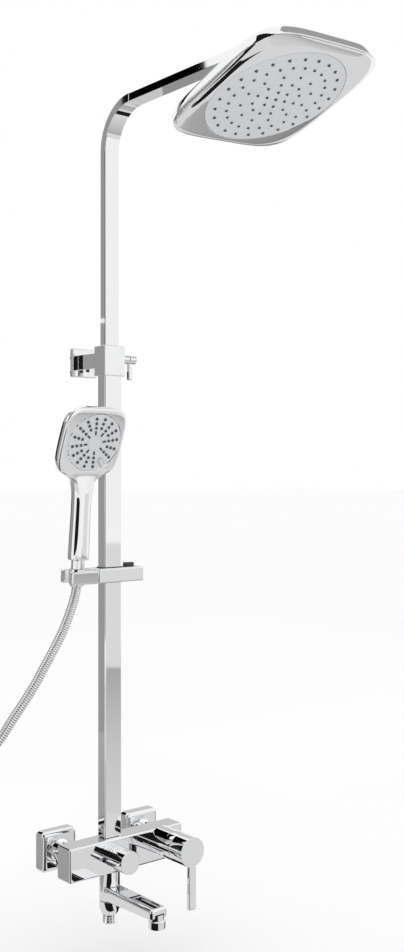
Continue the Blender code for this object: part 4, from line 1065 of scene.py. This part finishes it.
# %% Floor and boards
def plain(name, grey, far_grey=None):
    """A board of one grey, or one that fades from grey to far_grey along its own X."""
    made = bpy.data.materials.new(name)
    made.use_nodes = True
    tree = made.node_tree
    tree.nodes.clear()
    glow = tree.nodes.new("ShaderNodeEmission")
    glow.inputs["Color"].default_value = (grey, grey, grey, 1.0)
    if far_grey is not None:
        place = tree.nodes.new("ShaderNodeTexCoord")
        split = tree.nodes.new("ShaderNodeSeparateXYZ")
        fade = tree.nodes.new("ShaderNodeMapRange")
        limits = {"From Min": -0.5, "From Max": 0.5, "To Min": grey, "To Max": far_grey}
        for socket, value in limits.items():
            fade.inputs[socket].default_value = value
        tree.links.new(place.outputs["Object"], split.inputs[0])
        tree.links.new(split.outputs["X"], fade.inputs["Value"])
        tree.links.new(fade.outputs[0], glow.inputs["Color"])
    out = tree.nodes.new("ShaderNodeOutputMaterial")
    tree.links.new(glow.outputs[0], out.inputs["Surface"])
    return made


def board(name, size, centre, facing, grey, far_grey=None, turn=0.0):
    """A card that only reflections see, turned to face a point."""
    bpy.ops.object.select_all(action="DESELECT")
    bpy.ops.mesh.primitive_plane_add(size=1.0)
    card = bpy.context.active_object
    card.name = name
    aim = (Vector(facing) - Vector(centre)).to_track_quat("Z", "Y").to_matrix().to_4x4()
    spin = Matrix.Rotation(math.radians(turn), 4, "Z")
    card.matrix_world = Matrix.Translation(centre) @ aim @ spin @ Matrix.Diagonal((size[0], size[1], 1.0, 1.0))
    card.data.materials.append(plain(name, grey, far_grey))
    card.visible_camera = False
    card.visible_diffuse = False
    card.visible_shadow = False


FLOOR_Z = -0.16
bpy.ops.object.select_all(action="DESELECT")
bpy.ops.mesh.primitive_plane_add(size=80.0, location=(0, 0, FLOOR_Z))
floor = bpy.context.active_object
floor.name = "floor"
floor.data.materials.append(Finish("pale_floor", (0.97, 0.97, 0.97), 0.8).material)

# %% Where the boards stand
ARM_MIDDLE = (-0.02, -0.25, 1.08)
COLUMN_MIDDLE = (-0.02, -0.072, 0.45)


def flat_board(name, size, x, y, grey, far_grey=None, turn=0.0, above=0.005):
    """A card that lies face up, just above the floor."""
    board(name, size, (x, y, FLOOR_Z + above), (x, y, 1.0), grey, far_grey, turn)


# left of the column, seen in faces that look to the left
board("black_back_left", (0.20, 0.5), (-0.77, 0.73, 1.52), ARM_MIDDLE, 0.0)
board("grey_back_left_top", (0.42, 0.75), (-0.87, 1.18, 1.36), ARM_MIDDLE, 0.32)
board("grey_back_left", (1.7, 1.6), (-0.95, 1.15, 0.2), COLUMN_MIDDLE, 0.27, 0.38)
flat_board("floor_back_left", (1.3, 1.5), -0.52, 0.72, 0.34, 0.42, -50.0)
# behind the camera, seen in the middle of round things
board("dark_room", (2.9, 4.2), (-2.25, -1.65, 1.3), COLUMN_MIDDLE, 0.01)
flat_board("dark_floor", (0.30, 1.1), -0.36, -0.60, 0.01, turn=-25.0)
flat_board("dark_floor_right", (0.9, 0.28), 0.50, 0.00, 0.01, turn=12.0)
# above and behind, seen in the upper left of the horizontal hubs
board("black_high_back", (0.85, 0.40), (-0.18, 0.85, 0.74), (-0.18, -1.0, 0.74), 0.0, turn=22.0)
board("white_top_back", (0.8, 0.6), (0.75, 0.85, 0.6), (0.0, -0.1, 0.0), 0.60)
# right of the column, seen in faces that look to the front
flat_board("front_step", (2.0, 1.9), 1.08, -1.38, 0.37, 0.68, -50.0, above=0.008)
board("front_low", (1.6, 0.5), (1.6, -2.0, 0.05), COLUMN_MIDDLE, 0.75)
board("front_right", (1.6, 1.7), (1.75, -2.2, 1.15), COLUMN_MIDDLE, 0.86, 1.0)
# below and right, seen in the arm's underside and in the rain head
board("grey_under_arm", (0.42, 0.35), (0.66, 0.34, 0.79), ARM_MIDDLE, 0.30)
flat_board("floor_back_right", (1.0, 0.62), 1.32, 0.69, 0.22, 0.5)
flat_board("floor_grey", (5.0, 5.0), 0.3, 0.3, 0.72, above=0.002)
board("rim_front", (0.9, 0.75), (0.42, -0.80, 1.62), (0.0, -0.5, 1.0), 0.36)

# %% White surroundings
world = bpy.data.worlds.new("studio")
world.use_nodes = True
sky = world.node_tree.nodes["Background"]
sky.inputs["Color"].default_value = (1.0, 1.0, 1.0, 1.0)
sky.inputs["Strength"].default_value = 1.0
bpy.context.scene.world = world
bpy.context.scene.view_settings.view_transform = "Standard"
